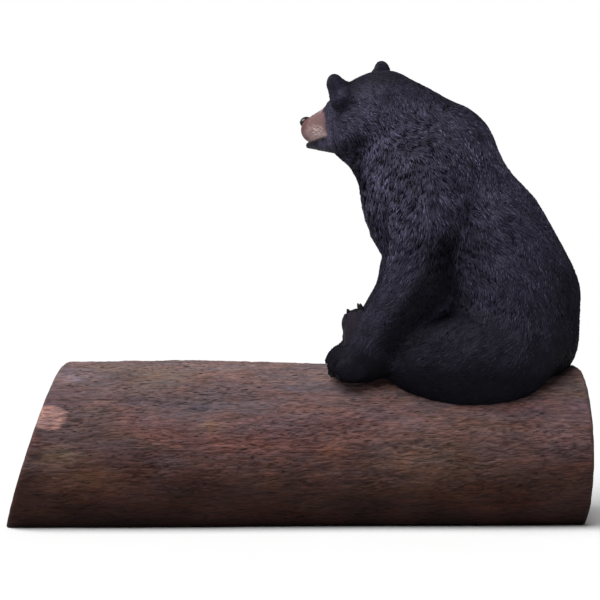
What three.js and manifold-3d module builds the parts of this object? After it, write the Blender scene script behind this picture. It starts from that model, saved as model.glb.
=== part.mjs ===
// A near life-size black bear seated on a log bench: two pieces in painted cast resin.
// Millimetres, +Z up. The log lies along X, the bear sits near its +X end and faces -X.

import * as THREE from "three";
import { mergeVertices } from "three/addons/utils/BufferGeometryUtils.js";
import Module from "manifold-3d";

const wasm = await Module();
wasm.setup();

// Driving dimensions of the log: a tapered round trunk, sawn flat underneath.
const LOG = {
  cutFootX: -776, // the slanted cut meets the ground here
  cutCrownX: -646, // and the top of the trunk here
  cutHollow: 7, // the cut face is a little hollow
  endX: 764, // the square-cut end
  radiusAtCut: 250,
  radiusAtEnd: 226,
  axisAtCut: 181, // height of the trunk's middle over the ground
  axisAtEnd: 193,
  swell: 2.5, // gentle waves of the trunk's outline
  edgeRound: 15, // worn edges of both end faces
  padX: 468, // a foot pad carries the square end from here on
  padHeight: 7, // the underside rises to this just before the pad
  footX: -690, // and starts to rise here
  barkSpacing: 88, // furrow to furrow
  barkLength: 520,
  barkDepth: 4,
  stations: 15, // rings along the trunk
  around: 50, // points on each ring
};

// Driving dimensions of the bear. Limbs and flanks are given on one side and mirrored about Y = 0.
const BEAR = {
  seatGap: 0.3, // clearance between the bear's underside and the log
  lockSpacing: 74, // width of a lock of fur
  lockLength: 190,
  lockDepth: 5,
  coarseStep: 17, // net on the body
  fineStep: 11, // net on the head, paws and feet
  triangles: 5750, // what the net is thinned out to
  slivers: 100, // and what is closed up after the toes and the seat are joined and cut
  toeWidth: 30,
  clawLength: 18,
  clawWidth: 11,
};

const HEAD = {
  at: [184, 26, 1116], // middle of the skull
  yaw: 46, // degrees from -X towards +Y: the bear looks over the bench's front
  roll: 17, // degrees, near ear down
  pitch: 0,
};

const degrees = Math.PI / 180;
const { abs, cos, hypot, max, min, PI, sin, sqrt } = Math;
const mix = (a, b, t) => a + (b - a) * t;
const clamp01 = (t) => max(0, min(1, t));
const smoothStep = (a, b, x) => {
  const t = clamp01((x - a) / (b - a));
  return t * t * (3 - 2 * t);
};

// Relief that follows a grain: waves in even directions over a sphere, each faded as far as it runs along
// the grain, so that long ridges stay. It makes the bark's furrows and the locks of fur.
const WAVES = Array.from({ length: 48 }, (_, i) => {
  const height = 1 - (2 * (i + 0.5)) / 48;
  const turn = i * PI * (3 - sqrt(5));
  const ring = sqrt(1 - height * height);
  return {
    direction: [ring * cos(turn), ring * sin(turn), height],
    stretch: 0.7 + 0.6 * ((i * 0.618) % 1),
    phase: i * 1.713,
  };
});

function grainRelief(point, grain, spacing, length) {
  let sum = 0;
  let power = 1e-6;
  for (const { direction, stretch, phase } of WAVES) {
    const k = (2 * PI) / (spacing * stretch);
    const along = 0.5 * length * k * dot(direction, grain);
    const share = abs(along) < 1e-3 ? 1 : sin(along) / along;
    sum += share * sin(k * dot(direction, point) + phase);
    power += 0.5 * share * share;
  }
  return sum / sqrt(power);
}

// Rounded ridges with sharp grooves between them, about zero on average.
const lockProfile = (wave) => min(1.4, abs(wave)) - 0.72;

function dot(a, b) {
  return a[0] * b[0] + a[1] * b[1] + a[2] * b[2];
}

function unit(v) {
  const size = hypot(...v) || 1;
  return v.map((c) => c / size);
}

// Distance to an ellipsoid, near enough for blending.
function ellipsoid([x, y, z], [cx, cy, cz], [rx, ry, rz]) {
  const px = x - cx;
  const py = y - cy;
  const pz = z - cz;
  const inner = hypot(px / rx, py / ry, pz / rz);
  const outer = hypot(px / (rx * rx), py / (ry * ry), pz / (rz * rz));
  return outer < 1e-9 ? -min(rx, ry, rz) : (inner * (inner - 1)) / outer;
}

// Distance to a limb: a ball of one radius swept to a ball of another.
function limb([x, y, z], [ax, ay, az], [bx, by, bz], ra, rb) {
  const dx = bx - ax;
  const dy = by - ay;
  const dz = bz - az;
  const t = clamp01(
    ((x - ax) * dx + (y - ay) * dy + (z - az) * dz) / (dx * dx + dy * dy + dz * dz),
  );
  return hypot(x - ax - t * dx, y - ay - t * dy, z - az - t * dz) - mix(ra, rb, t);
}

// Soft joins and cuts: the surfaces run into each other over the given width.
function join(a, b, width) {
  const h = max(width - abs(a - b), 0) / width;
  return min(a, b) - (h * h * width) / 4;
}

const joinAll = (width, ...parts) => parts.reduce((a, b) => join(a, b, width));
const carve = (a, b, width) => -join(-a, b, width);

// The trunk as rings of points along X. Growing it gives the shape that the bear's underside is cut to.
function trunkRadius(t) {
  return mix(LOG.radiusAtCut, LOG.radiusAtEnd, t) + LOG.swell * sin(11 * t - 1.2);
}

function trunkAxis(t) {
  return mix(LOG.axisAtCut, LOG.axisAtEnd, t);
}

// The rings lean with the slanted cut at one end and stand upright at the other.
function ringX(t, z) {
  const h = z / (trunkAxis(0) + trunkRadius(0));
  const cut = mix(LOG.cutFootX, LOG.cutCrownX, h) + 4 * LOG.cutHollow * h * (1 - h);
  return mix(cut, LOG.endX, t);
}

function trunkRing(t, inset, grow) {
  const axis = trunkAxis(t);
  const radius = trunkRadius(t) - inset + grow;
  const reach = Math.acos((0.4 * inset - grow - axis) / radius);
  return Array.from({ length: LOG.around + 1 }, (_, i) => {
    const angle = mix(-reach, reach, i / LOG.around);
    const skin = [t * (LOG.endX - LOG.cutFootX), radius * sin(angle), radius * cos(angle)];
    const furrow = lockProfile(grainRelief(skin, [1, 0, 0], LOG.barkSpacing, LOG.barkLength));
    const nearBase = smoothStep(0, 60, (reach - abs(angle)) * radius);
    const r = radius + LOG.barkDepth * furrow * nearBase;
    const z = axis + r * cos(angle);
    return [ringX(t, z), r * sin(angle), z];
  });
}

function trunkSolid(grow = 0) {
  const length = LOG.endX - LOG.cutFootX;
  const bend = LOG.edgeRound / length;
  const over = grow / length;
  const rings = [
    trunkRing(-over, LOG.edgeRound, grow),
    trunkRing(0.3 * bend - over, 0.3 * LOG.edgeRound, grow),
    ...Array.from({ length: LOG.stations }, (_, i) =>
      trunkRing(mix(bend, 1 - bend, i / (LOG.stations - 1)), 0, grow),
    ),
    trunkRing(1 - 0.3 * bend + over, 0.3 * LOG.edgeRound, grow),
    trunkRing(1 + over, LOG.edgeRound, grow),
  ];
  const size = rings[0].length;
  const points = rings.flat();
  const triangles = [];
  for (let ring = 0; ring + 1 < rings.length; ring++) {
    for (let i = 0; i < size; i++) {
      const a = ring * size + i;
      const b = ring * size + ((i + 1) % size);
      triangles.push(a, a + size, b, b, a + size, b + size);
    }
  }
  // End faces: fans about the middle of the first and the last ring.
  for (const [start, turned] of [[0, false], [points.length - size, true]]) {
    const middle = points.length;
    const edge = points.slice(start, start + size);
    points.push([0, 1, 2].map((axis) => edge.reduce((sum, p) => sum + p[axis], 0) / size));
    for (let i = 0; i < size; i++) {
      const a = start + i;
      const b = start + ((i + 1) % size);
      triangles.push(middle, turned ? b : a, turned ? a : b);
    }
  }
  return solid(points, triangles);
}

// The shallow rise of the underside, which leaves a foot at the slanted end and a pad at the square end.
function undersideRise() {
  const profile = new THREE.Shape();
  profile.moveTo(LOG.footX, -5);
  profile.lineTo(LOG.footX, 0);
  profile.lineTo(LOG.padX, LOG.padHeight);
  profile.lineTo(LOG.padX, -5);
  const depth = 4 * LOG.radiusAtCut;
  const wedge = new THREE.ExtrudeGeometry(profile, { depth, bevelEnabled: false });
  wedge.rotateX(PI / 2);
  wedge.translate(0, depth / 2, 0);
  return solidFrom(wedge);
}

// The bear's head in its own frame: forward, towards an ear, and up, from the middle of the skull.
const headAxes = (() => {
  const [yaw, roll, pitch] = [HEAD.yaw, HEAD.roll, HEAD.pitch].map((a) => a * degrees);
  const level = [-cos(yaw), sin(yaw), 0];
  const side = [-sin(yaw), -cos(yaw), 0];
  const left = [cos(roll) * side[0], cos(roll) * side[1], -sin(roll)];
  const top = [sin(roll) * side[0], sin(roll) * side[1], cos(roll)];
  const forward = level.map((c, i) => cos(pitch) * c + sin(pitch) * top[i]);
  const up = top.map((c, i) => cos(pitch) * c - sin(pitch) * level[i]);
  return [forward, left, up];
})();

function toHead(point) {
  const offset = point.map((c, i) => c - HEAD.at[i]);
  return headAxes.map((axis) => dot(axis, offset));
}

function skull(p) {
  const mirrored = [p[0], abs(p[1]), p[2]];
  const wide = [p[0], 0.88 * p[1], p[2]];
  const cranium = ellipsoid(p, [0, 0, 12], [106, 95, 78]);
  const forehead = ellipsoid(p, [78, 0, 10], [54, 38, 39]);
  const cheek = ellipsoid(mirrored, [18, 50, -38], [76, 46, 66]);
  const muzzle = limb(wide, [108, 0, -11], [210, 0, -27], 53, 38.5);
  const flat = [p[0], 0.6 * p[1], p[2]];
  const jaw = limb(flat, [84, 0, -66], [242, 0, -70], 43, 10);
  const snout = join(muzzle, jaw, 10);
  const brow = ellipsoid(mirrored, [89, 23, 36], [20, 13, 10]);
  const socket = ellipsoid(mirrored, [108, 27, 31], [13, 11, 9]);
  const head = join(joinAll(40, cranium, forehead, cheek), snout, 26);
  const nose = ellipsoid(p, [241, 0, -4], [15, 25, 17]);
  return join(carve(join(head, brow, 20), socket, 10), nose, 7);
}

function ear(p) {
  const mirrored = [p[0], abs(p[1]), p[2]];
  const thin = [2 * p[0], abs(p[1]), p[2]];
  const shell = limb(thin, [4, 86, 65], [2, 100, 100], 42, 26);
  const web = limb(thin, [2, 96, 98], [0, 54, 72], 26, 22);
  const root = ellipsoid(mirrored, [-12, 86, 66], [24, 28, 26]);
  const cup = ellipsoid(mirrored, [23, 96, 84], [20, 22, 34]);
  return carve(joinAll(14, shell, web, root), cup, 6);
}

function neck(p) {
  const nape = limb(p, [235, 10, 1121], [395, 0, 1024], 108, 115);
  const throat = limb(p, [184, 22, 1036], [290, 0, 935], 78, 110);
  return join(nape, throat, 60);
}

function torso(p) {
  const seat = ellipsoid(p, [580, 0, 470], [169, 188, 120]);
  const rump = ellipsoid(p, [558, 0, 600], [208, 194, 212]);
  const loin = ellipsoid(p, [480, 0, 752], [205, 184, 203]);
  const chest = ellipsoid(p, [394, 0, 920], [166, 174, 176]);
  const withers = ellipsoid(p, [418, 0, 990], [79, 86, 83]);
  const ruff = ellipsoid(p, [304, 0, 866], [126, 128, 168]);
  const belly = ellipsoid(p, [405, 0, 640], [150, 140, 190]);
  return joinAll(60, joinAll(70, seat, rump, loin, chest, belly), withers, ruff);
}

// Limbs are deeper front to back than across.
const slim = ([x, y, z], [cx, cy, cz]) => [x - cx, (y - cy) * 1.14, z - cz];

function foreleg(p) {
  const q = slim(p, [0, 150, 0]);
  const shoulder = ellipsoid(p, [345, 116, 885], [128, 84, 140]);
  const upper = limb(q, [345, 0, 850], [322, 0, 690], 98, 88);
  const elbow = ellipsoid(q, [336, 0, 630], [68, 78, 66]);
  const fore = limb(q, [320, 0, 640], [188, 0, 468], 89, 64);
  return joinAll(36, shoulder, upper, elbow, fore);
}

function forepaw(p) {
  const pad = ellipsoid(p, [158, 136, 431], [80, 58, 50]);
  const knuckles = ellipsoid(p, [130, 136, 426], [38, 55, 34]);
  return join(pad, knuckles, 24);
}

function haunch(p) {
  const thigh = ellipsoid(p, [455, 148, 437], [212, 92, 129]);
  const knee = ellipsoid(p, [322, 146, 452], [84, 66, 82]);
  const shank = limb(p, [310, 138, 452], [196, 74, 452], 70, 50);
  return joinAll(45, thigh, knee, shank);
}

// A hind foot stands on its heel, sole forwards and turned a little outwards, toes up.
const FOOT = { at: [156, 64, 471], splay: 36 };

function toFoot(p) {
  const [x, y, z] = p.map((c, i) => c - FOOT.at[i]);
  const [c, s] = [cos(FOOT.splay * degrees), sin(FOOT.splay * degrees)];
  return [c * x - s * y, s * x + c * y, z];
}

function fromFoot([x, y, z]) {
  const [c, s] = [cos(FOOT.splay * degrees), sin(FOOT.splay * degrees)];
  return [FOOT.at[0] + c * x + s * y, FOOT.at[1] - s * x + c * y, FOOT.at[2] + z];
}

function hindFoot(p) {
  const q = toFoot(p);
  const heel = ellipsoid(q, [6, 0, -18], [40, 42, 42]);
  const sole = ellipsoid(q, [1, 0, 32], [30, 49, 64]);
  return join(heel, sole, 24);
}

// Every paw has five toes in an arc, the middle one longest, and a claw at the tip of each.
function toes() {
  const list = [];
  for (const side of [-1, 1]) {
    for (const i of [-2, -1, 0, 1, 2]) {
      const mirror = ([x, y, z]) => [x, side * y, z];
      list.push({
        at: mirror([116 + 5 * i * i, 136 + 24 * i, 425 - 4 * abs(i)]),
        radii: [45, BEAR.toeWidth / 2, 31],
        nail: mirror([80 + 5 * i * i, 136 + 24 * i, 408 - 4 * abs(i)]),
        claw: mirror([-0.55, 0.06 * i, -0.8]),
      });
      list.push({
        at: mirror(fromFoot([-1, 18 * i, 74 + 2 * i - 2 * i * i])),
        radii: [19, BEAR.toeWidth / 2, 30],
        nail: mirror(fromFoot([2, 18 * i, 96 + 2 * i - 2 * i * i])),
        claw: mirror([-0.2, 0.1, 0.95]),
      });
    }
  }
  return list;
}

function toeSolid({ at, radii, nail, claw }) {
  const toe = new THREE.SphereGeometry(1, 8, 6);
  toe.scale(...radii);
  toe.translate(...at);
  const way = new THREE.Vector3(...claw).normalize();
  const horn = new THREE.ConeGeometry(BEAR.clawWidth / 2, BEAR.clawLength, 5);
  horn.applyQuaternion(turnFromY(way));
  horn.translate(...way.multiplyScalar(0.5 * BEAR.clawLength).add(new THREE.Vector3(...nail)));
  return solidFrom(toe).add(solidFrom(horn));
}

function turnFromY(direction) {
  return new THREE.Quaternion().setFromUnitVectors(new THREE.Vector3(0, 1, 0), direction.clone().normalize());
}

function bearDistance(point) {
  const p = [point[0], abs(point[1]), point[2]];
  const q = toHead(point);
  let body = join(join(torso(p), haunch(p), 34), foreleg(p), 16);
  if (point[2] < 680) body = join(join(body, forepaw(p), 24), hindFoot(p), 26);
  if (point[2] > 700) body = join(body, neck(point), 60);
  if (point[2] > 880) body = join(join(body, skull(q), 40), ear(q), 24);
  return body;
}

function bearNormal(point) {
  const step = 2;
  return unit(
    [0, 1, 2].map((axis) => {
      const shift = (d) => point.map((c, i) => (i === axis ? c + d : c));
      return bearDistance(shift(step)) - bearDistance(shift(-step));
    }),
  );
}

// The way the fur lies: each region has its own direction, and neighbours blend by nearness.
const FUR_LIE = [
  { at: [60, 60, 1090], lie: [0.6, -0.2, -0.5], reach: 110 },
  { at: [240, 10, 1120], lie: [0.8, 0, -0.5], reach: 130 },
  { at: [450, 0, 1000], lie: [0.6, 0, -0.8], reach: 160 },
  { at: [600, 0, 780], lie: [0.5, 0, -0.85], reach: 190 },
  { at: [640, 0, 540], lie: [0.1, 0, -1], reach: 190 },
  { at: [280, 0, 900], lie: [0.1, 0, -1], reach: 150 },
  { at: [340, 150, 800], lie: [-0.15, 0.1, -1], reach: 150 },
  { at: [250, 140, 580], lie: [-0.6, 0, -0.8], reach: 130 },
  { at: [480, 170, 480], lie: [-0.75, 0.1, -0.65], reach: 130 },
];

function furLie([x, y, z]) {
  const side = abs(y);
  const sum = [0, 0, 0];
  for (const { at, lie, reach } of FUR_LIE) {
    const far = hypot(x - at[0], side - at[1], z - at[2]) / reach;
    const weight = Math.exp(-far * far);
    lie.forEach((c, i) => (sum[i] += weight * (i === 1 && y < 0 ? -c : c)));
  }
  return unit(sum);
}

// Bare skin on the muzzle, the soles and the toes: no fur there.
function furLength(point) {
  const q = toHead(point);
  const face = smoothStep(70, 120, hypot(q[0] - 190, q[1], q[2] + 30));
  const earTip = smoothStep(110, 60, q[2]);
  const feet = smoothStep(430, 560, point[2] + 0.6 * point[0]);
  return face * max(earTip, smoothStep(120, 160, hypot(q[0], q[1], q[2]))) * feet;
}

// Grid lines from low to high, close together where stepAt asks for it.
function gridLines(low, high, stepAt) {
  const lines = [low];
  while (lines.at(-1) < high) lines.push(lines.at(-1) + stepAt(lines.at(-1)));
  return lines;
}

// A closed net of quads round a distance field: one point in each grid cell that the surface crosses.
function surfaceNet(distance, xs, ys, zs) {
  const [nx, ny, nz] = [xs.length, ys.length, zs.length];
  const at = (i, j, k) => (k * ny + j) * nx + i;
  const field = new Float32Array(nx * ny * nz);
  for (const [k, z] of zs.entries()) {
    for (const [j, y] of ys.entries()) {
      xs.forEach((x, i) => (field[at(i, j, k)] = distance([x, y, z])));
    }
  }
  fillPinches(field, [1, nx, nx * ny]);
  const corner = (n) => [n & 1, (n >> 1) & 1, n >> 2];
  const edges = [];
  for (let a = 0; a < 8; a++) {
    for (const bit of [1, 2, 4]) if (!(a & bit)) edges.push([corner(a), corner(a | bit)]);
  }
  const points = [];
  const pointOf = new Int32Array(field.length).fill(-1);
  for (let k = 0; k + 1 < nz; k++) {
    for (let j = 0; j + 1 < ny; j++) {
      for (let i = 0; i + 1 < nx; i++) {
        const sum = [0, 0, 0];
        let count = 0;
        for (const [a, b] of edges) {
          const fa = field[at(i + a[0], j + a[1], k + a[2])];
          const fb = field[at(i + b[0], j + b[1], k + b[2])];
          if (fa < 0 === fb < 0) continue;
          const t = fa / (fa - fb);
          sum[0] += mix(xs[i + a[0]], xs[i + b[0]], t);
          sum[1] += mix(ys[j + a[1]], ys[j + b[1]], t);
          sum[2] += mix(zs[k + a[2]], zs[k + b[2]], t);
          count++;
        }
        if (!count) continue;
        pointOf[at(i, j, k)] = points.length;
        points.push(sum.map((c) => c / count));
      }
    }
  }
  const triangles = [];
  const quad = (a, b, c, d, inside) => {
    const [p, q, r, s] = [a, b, c, d].map((cell) => pointOf[cell]);
    const long = (u, v) => hypot(...points[u].map((x, n) => x - points[v][n]));
    const corners = long(p, r) < long(q, s) ? [p, q, r, p, r, s] : [p, q, s, q, r, s];
    if (!inside) corners.reverse();
    triangles.push(...corners);
  };
  for (let k = 1; k + 1 < nz; k++) {
    for (let j = 1; j + 1 < ny; j++) {
      for (let i = 1; i + 1 < nx; i++) {
        const inside = field[at(i, j, k)] < 0;
        if (inside !== field[at(i + 1, j, k)] < 0)
          quad(at(i, j - 1, k - 1), at(i, j, k - 1), at(i, j, k), at(i, j - 1, k), inside);
        if (inside !== field[at(i, j + 1, k)] < 0)
          quad(at(i - 1, j, k - 1), at(i - 1, j, k), at(i, j, k), at(i, j, k - 1), inside);
        if (inside !== field[at(i, j, k + 1)] < 0)
          quad(at(i - 1, j - 1, k), at(i, j - 1, k), at(i, j, k), at(i - 1, j, k), inside);
      }
    }
  }
  return { points, triangles };
}

// A grid square whose inside corners lie on one diagonal would pinch the net: one more corner is filled.
function fillPinches(field, steps) {
  const sides = [[0, 1], [1, 2], [0, 2]].map(([s, t]) => [steps[s], steps[t]]);
  const last = field.length - steps[0] - steps[1] - steps[2];
  for (let filled = true; filled; ) {
    filled = false;
    for (let n = 0; n < last; n++) {
      for (const [s, t] of sides) {
        const inside = field[n] < 0;
        const across = field[n + s + t] < 0 === inside;
        const pinched = across && field[n + s] < 0 !== inside && field[n + t] < 0 !== inside;
        if (!pinched) continue;
        field[inside ? n + s : n] = -0.5;
        filled = true;
      }
    }
  }
}

// Even out a net: each point moves to the middle of its neighbours.
function relaxed({ points, triangles }) {
  const sums = points.map(() => [0, 0, 0, 0]);
  triangles.forEach((p, n) => {
    const next = points[triangles[n % 3 === 2 ? n - 2 : n + 1]];
    next.forEach((c, i) => (sums[p][i] += c));
    sums[p][3]++;
  });
  return sums.map(([x, y, z, count]) => [x / count, y / count, z / count]);
}

function settle(point) {
  for (let turn = 0; turn < 3; turn++) {
    const normal = bearNormal(point);
    const distance = bearDistance(point);
    point = point.map((c, i) => c - 0.9 * distance * normal[i]);
  }
  return point;
}

function withLocks(point) {
  const relief = lockProfile(grainRelief(point, furLie(point), BEAR.lockSpacing, BEAR.lockLength));
  const height = BEAR.lockDepth * furLength(point) * relief;
  const normal = bearNormal(point);
  return point.map((c, i) => c + height * normal[i]);
}

// Thin out a closed net: flat places lose points first, rims and grooves last.
function thinOut(points, triangles, wanted) {
  const faces = [];
  const around = points.map(() => new Set());
  const quadrics = points.map(() => new Float64Array(10));
  for (let t = 0; t < triangles.length; t += 3) {
    const face = triangles.slice(t, t + 3);
    const plane = planeOf(...face.map((p) => points[p]));
    for (const p of face) {
      around[p].add(faces.length);
      let n = 0;
      for (let i = 0; i < 4; i++) for (let j = i; j < 4; j++) quadrics[p][n++] += plane[i] * plane[j];
    }
    faces.push(face);
  }
  const error = (p, at) => {
    const v = [...at, 1];
    let sum = 0;
    let n = 0;
    for (let i = 0; i < 4; i++) {
      for (let j = i; j < 4; j++) sum += (i === j ? 1 : 2) * quadrics[p][n++] * v[i] * v[j];
    }
    return sum;
  };
  const merged = (a, b) => {
    const middle = points[a].map((c, i) => (c + points[b][i]) / 2);
    const size = hypot(...points[a].map((c, i) => c - points[b][i]));
    const choices = [middle, points[a], points[b]].map((at) => ({ at, cost: error(a, at) + error(b, at) }));
    const best = choices.reduce((x, y) => (x.cost <= y.cost ? x : y));
    return { a, b, size, at: best.at, cost: size < 0.1 ? 0 : best.cost + size * size };
  };
  const ring = (p) => new Set([...around[p]].flatMap((f) => faces[f]));
  const turnsOver = (p, other, at) =>
    [...around[p]].some((f) => {
      if (faces[f].includes(other)) return false;
      const corners = faces[f].map((c) => (c === p ? at : points[c]));
      const before = planeOf(...faces[f].map((c) => points[c])).slice(0, 3);
      const after = planeOf(...corners).slice(0, 3);
      const longest = max(...corners.map((c, n) => hypot(...c.map((x, i) => x - corners[(n + 1) % 3][i]))));
      return dot(unit(before), unit(after)) < 0.4 || dot(after, after) < 0.12 * longest * longest;
    });
  let left = faces.length;
  while (left > wanted) {
    const edges = faces
      .filter(Boolean)
      .flatMap((face) => face.map((a, n) => [a, face[(n + 1) % 3]]))
      .filter(([a, b]) => a < b)
      .map(([a, b]) => merged(a, b))
      .sort((x, y) => x.cost - y.cost);
    const touched = new Set();
    for (const { a, b, size, at } of edges.slice(0, edges.length / 3)) {
      if (left <= wanted) break;
      if (touched.has(a) || touched.has(b)) continue;
      const [ringA, ringB] = [ring(a), ring(b)];
      if ([...ringA].filter((p) => ringB.has(p)).length !== 4) continue;
      if (size > 0.1 && (turnsOver(a, b, at) || turnsOver(b, a, at))) continue;
      for (const f of around[b]) {
        if (faces[f].includes(a)) {
          for (const p of faces[f]) if (p !== b) around[p].delete(f);
          faces[f] = null;
        } else {
          faces[f] = faces[f].map((p) => (p === b ? a : p));
          around[a].add(f);
        }
      }
      around[b].clear();
      points[a] = at;
      quadrics[b].forEach((c, i) => (quadrics[a][i] += c));
      for (const p of [...ringA, ...ringB]) touched.add(p);
      left -= 2;
    }
  }
  const kept = [];
  const renamed = new Map();
  const corners = faces.filter(Boolean).flat();
  for (const p of corners) if (!renamed.has(p)) renamed.set(p, kept.push(points[p]) - 1);
  return { points: kept, triangles: corners.map((p) => renamed.get(p)) };
}

// The plane of a triangle, scaled by the triangle's area.
function planeOf(a, b, c) {
  const u = b.map((x, i) => x - a[i]);
  const v = c.map((x, i) => x - a[i]);
  const normal = [u[1] * v[2] - u[2] * v[1], u[2] * v[0] - u[0] * v[2], u[0] * v[1] - u[1] * v[0]];
  const scale = 1 / sqrt(hypot(...normal) || 1);
  const plane = normal.map((x) => x * scale);
  return [...plane, -dot(plane, a)];
}

function bearSolid() {
  const { coarseStep, fineStep } = BEAR;
  const fineBelow = (limit) => (x) => (x < limit ? fineStep : coarseStep);
  const xs = gridLines(-60, 830, fineBelow(250));
  const ys = gridLines(-290, 290, (y) => (y < 240 ? 1.2 * fineStep : coarseStep));
  const zs = gridLines(270, 1300, (z) => (z < 610 || z > 1010 ? fineStep : coarseStep));
  const net = surfaceNet(bearDistance, xs, ys, zs);
  const furred = relaxed(net).map(settle).map(withLocks);
  const thin = thinOut(furred, net.triangles, BEAR.triangles);
  return solid(thin.points, thin.triangles);
}

// Joins and cuts leave a few hair-thin triangles: the shortest edges are closed up.
function withoutSlivers(manifold) {
  const { vertProperties, triVerts } = manifold.getMesh();
  const corner = (_, i) => [...vertProperties.slice(3 * i, 3 * i + 3)];
  const points = Array.from({ length: vertProperties.length / 3 }, corner);
  const thin = thinOut(points, [...triVerts], triVerts.length / 3 - BEAR.slivers);
  return solid(thin.points, thin.triangles);
}

function solid(points, triangles) {
  return new wasm.Manifold(
    new wasm.Mesh({
      numProp: 3,
      vertProperties: new Float32Array(points.flat()),
      triVerts: new Uint32Array(triangles),
    }),
  );
}

function solidFrom(geometry) {
  const plain = new THREE.BufferGeometry();
  plain.setAttribute("position", geometry.getAttribute("position"));
  if (geometry.index) plain.setIndex(geometry.index);
  const welded = mergeVertices(plain, 1e-3);
  const { array } = welded.getAttribute("position");
  return new wasm.Manifold(
    new wasm.Mesh({ numProp: 3, vertProperties: array, triVerts: new Uint32Array(welded.index.array) }),
  );
}

function meshOf(manifold, name, material) {
  const { vertProperties, triVerts } = manifold.getMesh();
  const geometry = new THREE.BufferGeometry();
  geometry.setAttribute("position", new THREE.BufferAttribute(vertProperties, 3));
  geometry.setIndex(new THREE.BufferAttribute(triVerts, 1));
  geometry.computeVertexNormals();
  const mesh = new THREE.Mesh(geometry, material);
  mesh.name = name;
  return mesh;
}

const furPaint = new THREE.MeshStandardMaterial({ color: 0x17161c, roughness: 0.55, metalness: 0 });
const barkPaint = new THREE.MeshStandardMaterial({ color: 0x5a4038, roughness: 0.75, metalness: 0 });

const log = trunkSolid().subtract(undersideRise());
const toed = toes().map(toeSolid).reduce((body, toe) => body.add(toe), bearSolid());
const bear = withoutSlivers(toed.subtract(trunkSolid(BEAR.seatGap)));

const statue = new THREE.Group();
statue.add(meshOf(log, "log", barkPaint), meshOf(bear, "bear", furPaint));

// The frame's origin is on the ground, under the middle of the whole statue.
const box = new THREE.Box3().setFromObject(statue);
const middle = box.getCenter(new THREE.Vector3());
for (const mesh of statue.children) mesh.geometry.translate(-middle.x, -middle.y, -box.min.z);

export default statue;
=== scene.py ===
# %% [markdown]
# A black bear sits at one end of a log bench. Both are hollow castings in resin, moulded with fur and
# bark and painted by hand. The measured solids arrive as the frame; this lesson builds the finished skins
# over them in the same place: first the bear's body, then its strokes of fur, its nose, eyes and claws,
# then the log.

# %% The frame and its box
import math
import bpy
import numpy as np
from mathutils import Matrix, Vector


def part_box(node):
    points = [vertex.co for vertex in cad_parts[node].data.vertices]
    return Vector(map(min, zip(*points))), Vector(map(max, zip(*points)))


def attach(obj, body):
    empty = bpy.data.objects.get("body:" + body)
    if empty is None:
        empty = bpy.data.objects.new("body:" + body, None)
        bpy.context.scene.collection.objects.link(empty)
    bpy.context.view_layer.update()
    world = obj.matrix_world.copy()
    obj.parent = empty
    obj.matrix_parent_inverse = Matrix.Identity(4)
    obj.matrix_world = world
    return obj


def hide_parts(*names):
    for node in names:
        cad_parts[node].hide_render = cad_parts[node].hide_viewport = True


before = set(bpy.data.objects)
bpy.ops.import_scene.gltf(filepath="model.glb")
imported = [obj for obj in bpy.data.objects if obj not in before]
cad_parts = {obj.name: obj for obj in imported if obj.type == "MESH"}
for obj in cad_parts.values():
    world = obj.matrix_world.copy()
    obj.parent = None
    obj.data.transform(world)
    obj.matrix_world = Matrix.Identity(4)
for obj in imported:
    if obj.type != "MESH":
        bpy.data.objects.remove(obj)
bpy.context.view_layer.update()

# %% [markdown]
# Shapes are measured in millimetres in the modeller's own frame, whose zero lies a little off the middle
# of the footprint. The log's square end shows how far off. One function turns them into metres in the
# frame, so that every later cell can think in millimetres and still land on the solids.

# %% From the modeller's millimetres to the frame's metres
LOG_END = 764.0
LOG_ASIDE = -0.39
FOOTPRINT_MIDDLE = np.array([LOG_END - 1000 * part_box("log")[1][0], LOG_ASIDE, 0.0])


def metres(points):
    """Modeller's millimetres, one point a row, as metres in the frame."""
    return (np.asarray(points, float) - FOOTPRINT_MIDDLE) / 1000.0


def new_mesh(name, points, quads, triangles=()):
    """A plain mesh from arrays of corners, smooth shaded."""
    mesh = bpy.data.meshes.new(name)
    quads = np.asarray(quads, np.int32).reshape(-1, 4)
    triangles = np.asarray(triangles, np.int32).reshape(-1, 3)
    loops = np.concatenate([quads.ravel(), triangles.ravel()])
    starts = np.concatenate([
        np.arange(len(quads)) * 4,
        len(quads) * 4 + np.arange(len(triangles)) * 3,
    ]).astype(np.int32)
    mesh.vertices.add(len(points))
    mesh.vertices.foreach_set("co", np.asarray(points, np.float32).ravel())
    mesh.loops.add(len(loops))
    mesh.loops.foreach_set("vertex_index", loops.astype(np.int32))
    mesh.polygons.add(len(starts))
    mesh.polygons.foreach_set("loop_start", starts)
    mesh.update(calc_edges=True)
    mesh.validate()
    mesh.shade_smooth()
    return mesh


def store(mesh, name, values):
    """A named attribute on the mesh's points: a number each, or a direction each."""
    values = np.asarray(values, np.float32)
    kind, field = ("FLOAT_VECTOR", "vector") if values.ndim == 2 else ("FLOAT", "value")
    layer = mesh.attributes.new(name, kind, "POINT")
    layer.data.foreach_set(field, values.ravel())


def place(name, mesh, stands_for=None):
    """Puts a finished mesh in the scene as a piece of the statue."""
    piece = bpy.data.objects.new(name, mesh)
    bpy.context.scene.collection.objects.link(piece)
    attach(piece, "root")
    if stands_for:
        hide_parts(stands_for)
    triangles = sum(len(p.vertices) - 2 for p in mesh.polygons)
    print(f"{name}: {triangles} triangles")


# %% [markdown]
# The bear is soft masses that run into one another, as a sculptor blocks it out in clay. Each mass is a
# distance: negative inside, positive outside. A soft minimum joins two masses over a chosen width.
# Metaballs could do the same, but a distance also gives the surface's direction, which the fur needs.

# %% Masses and soft joins


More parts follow.
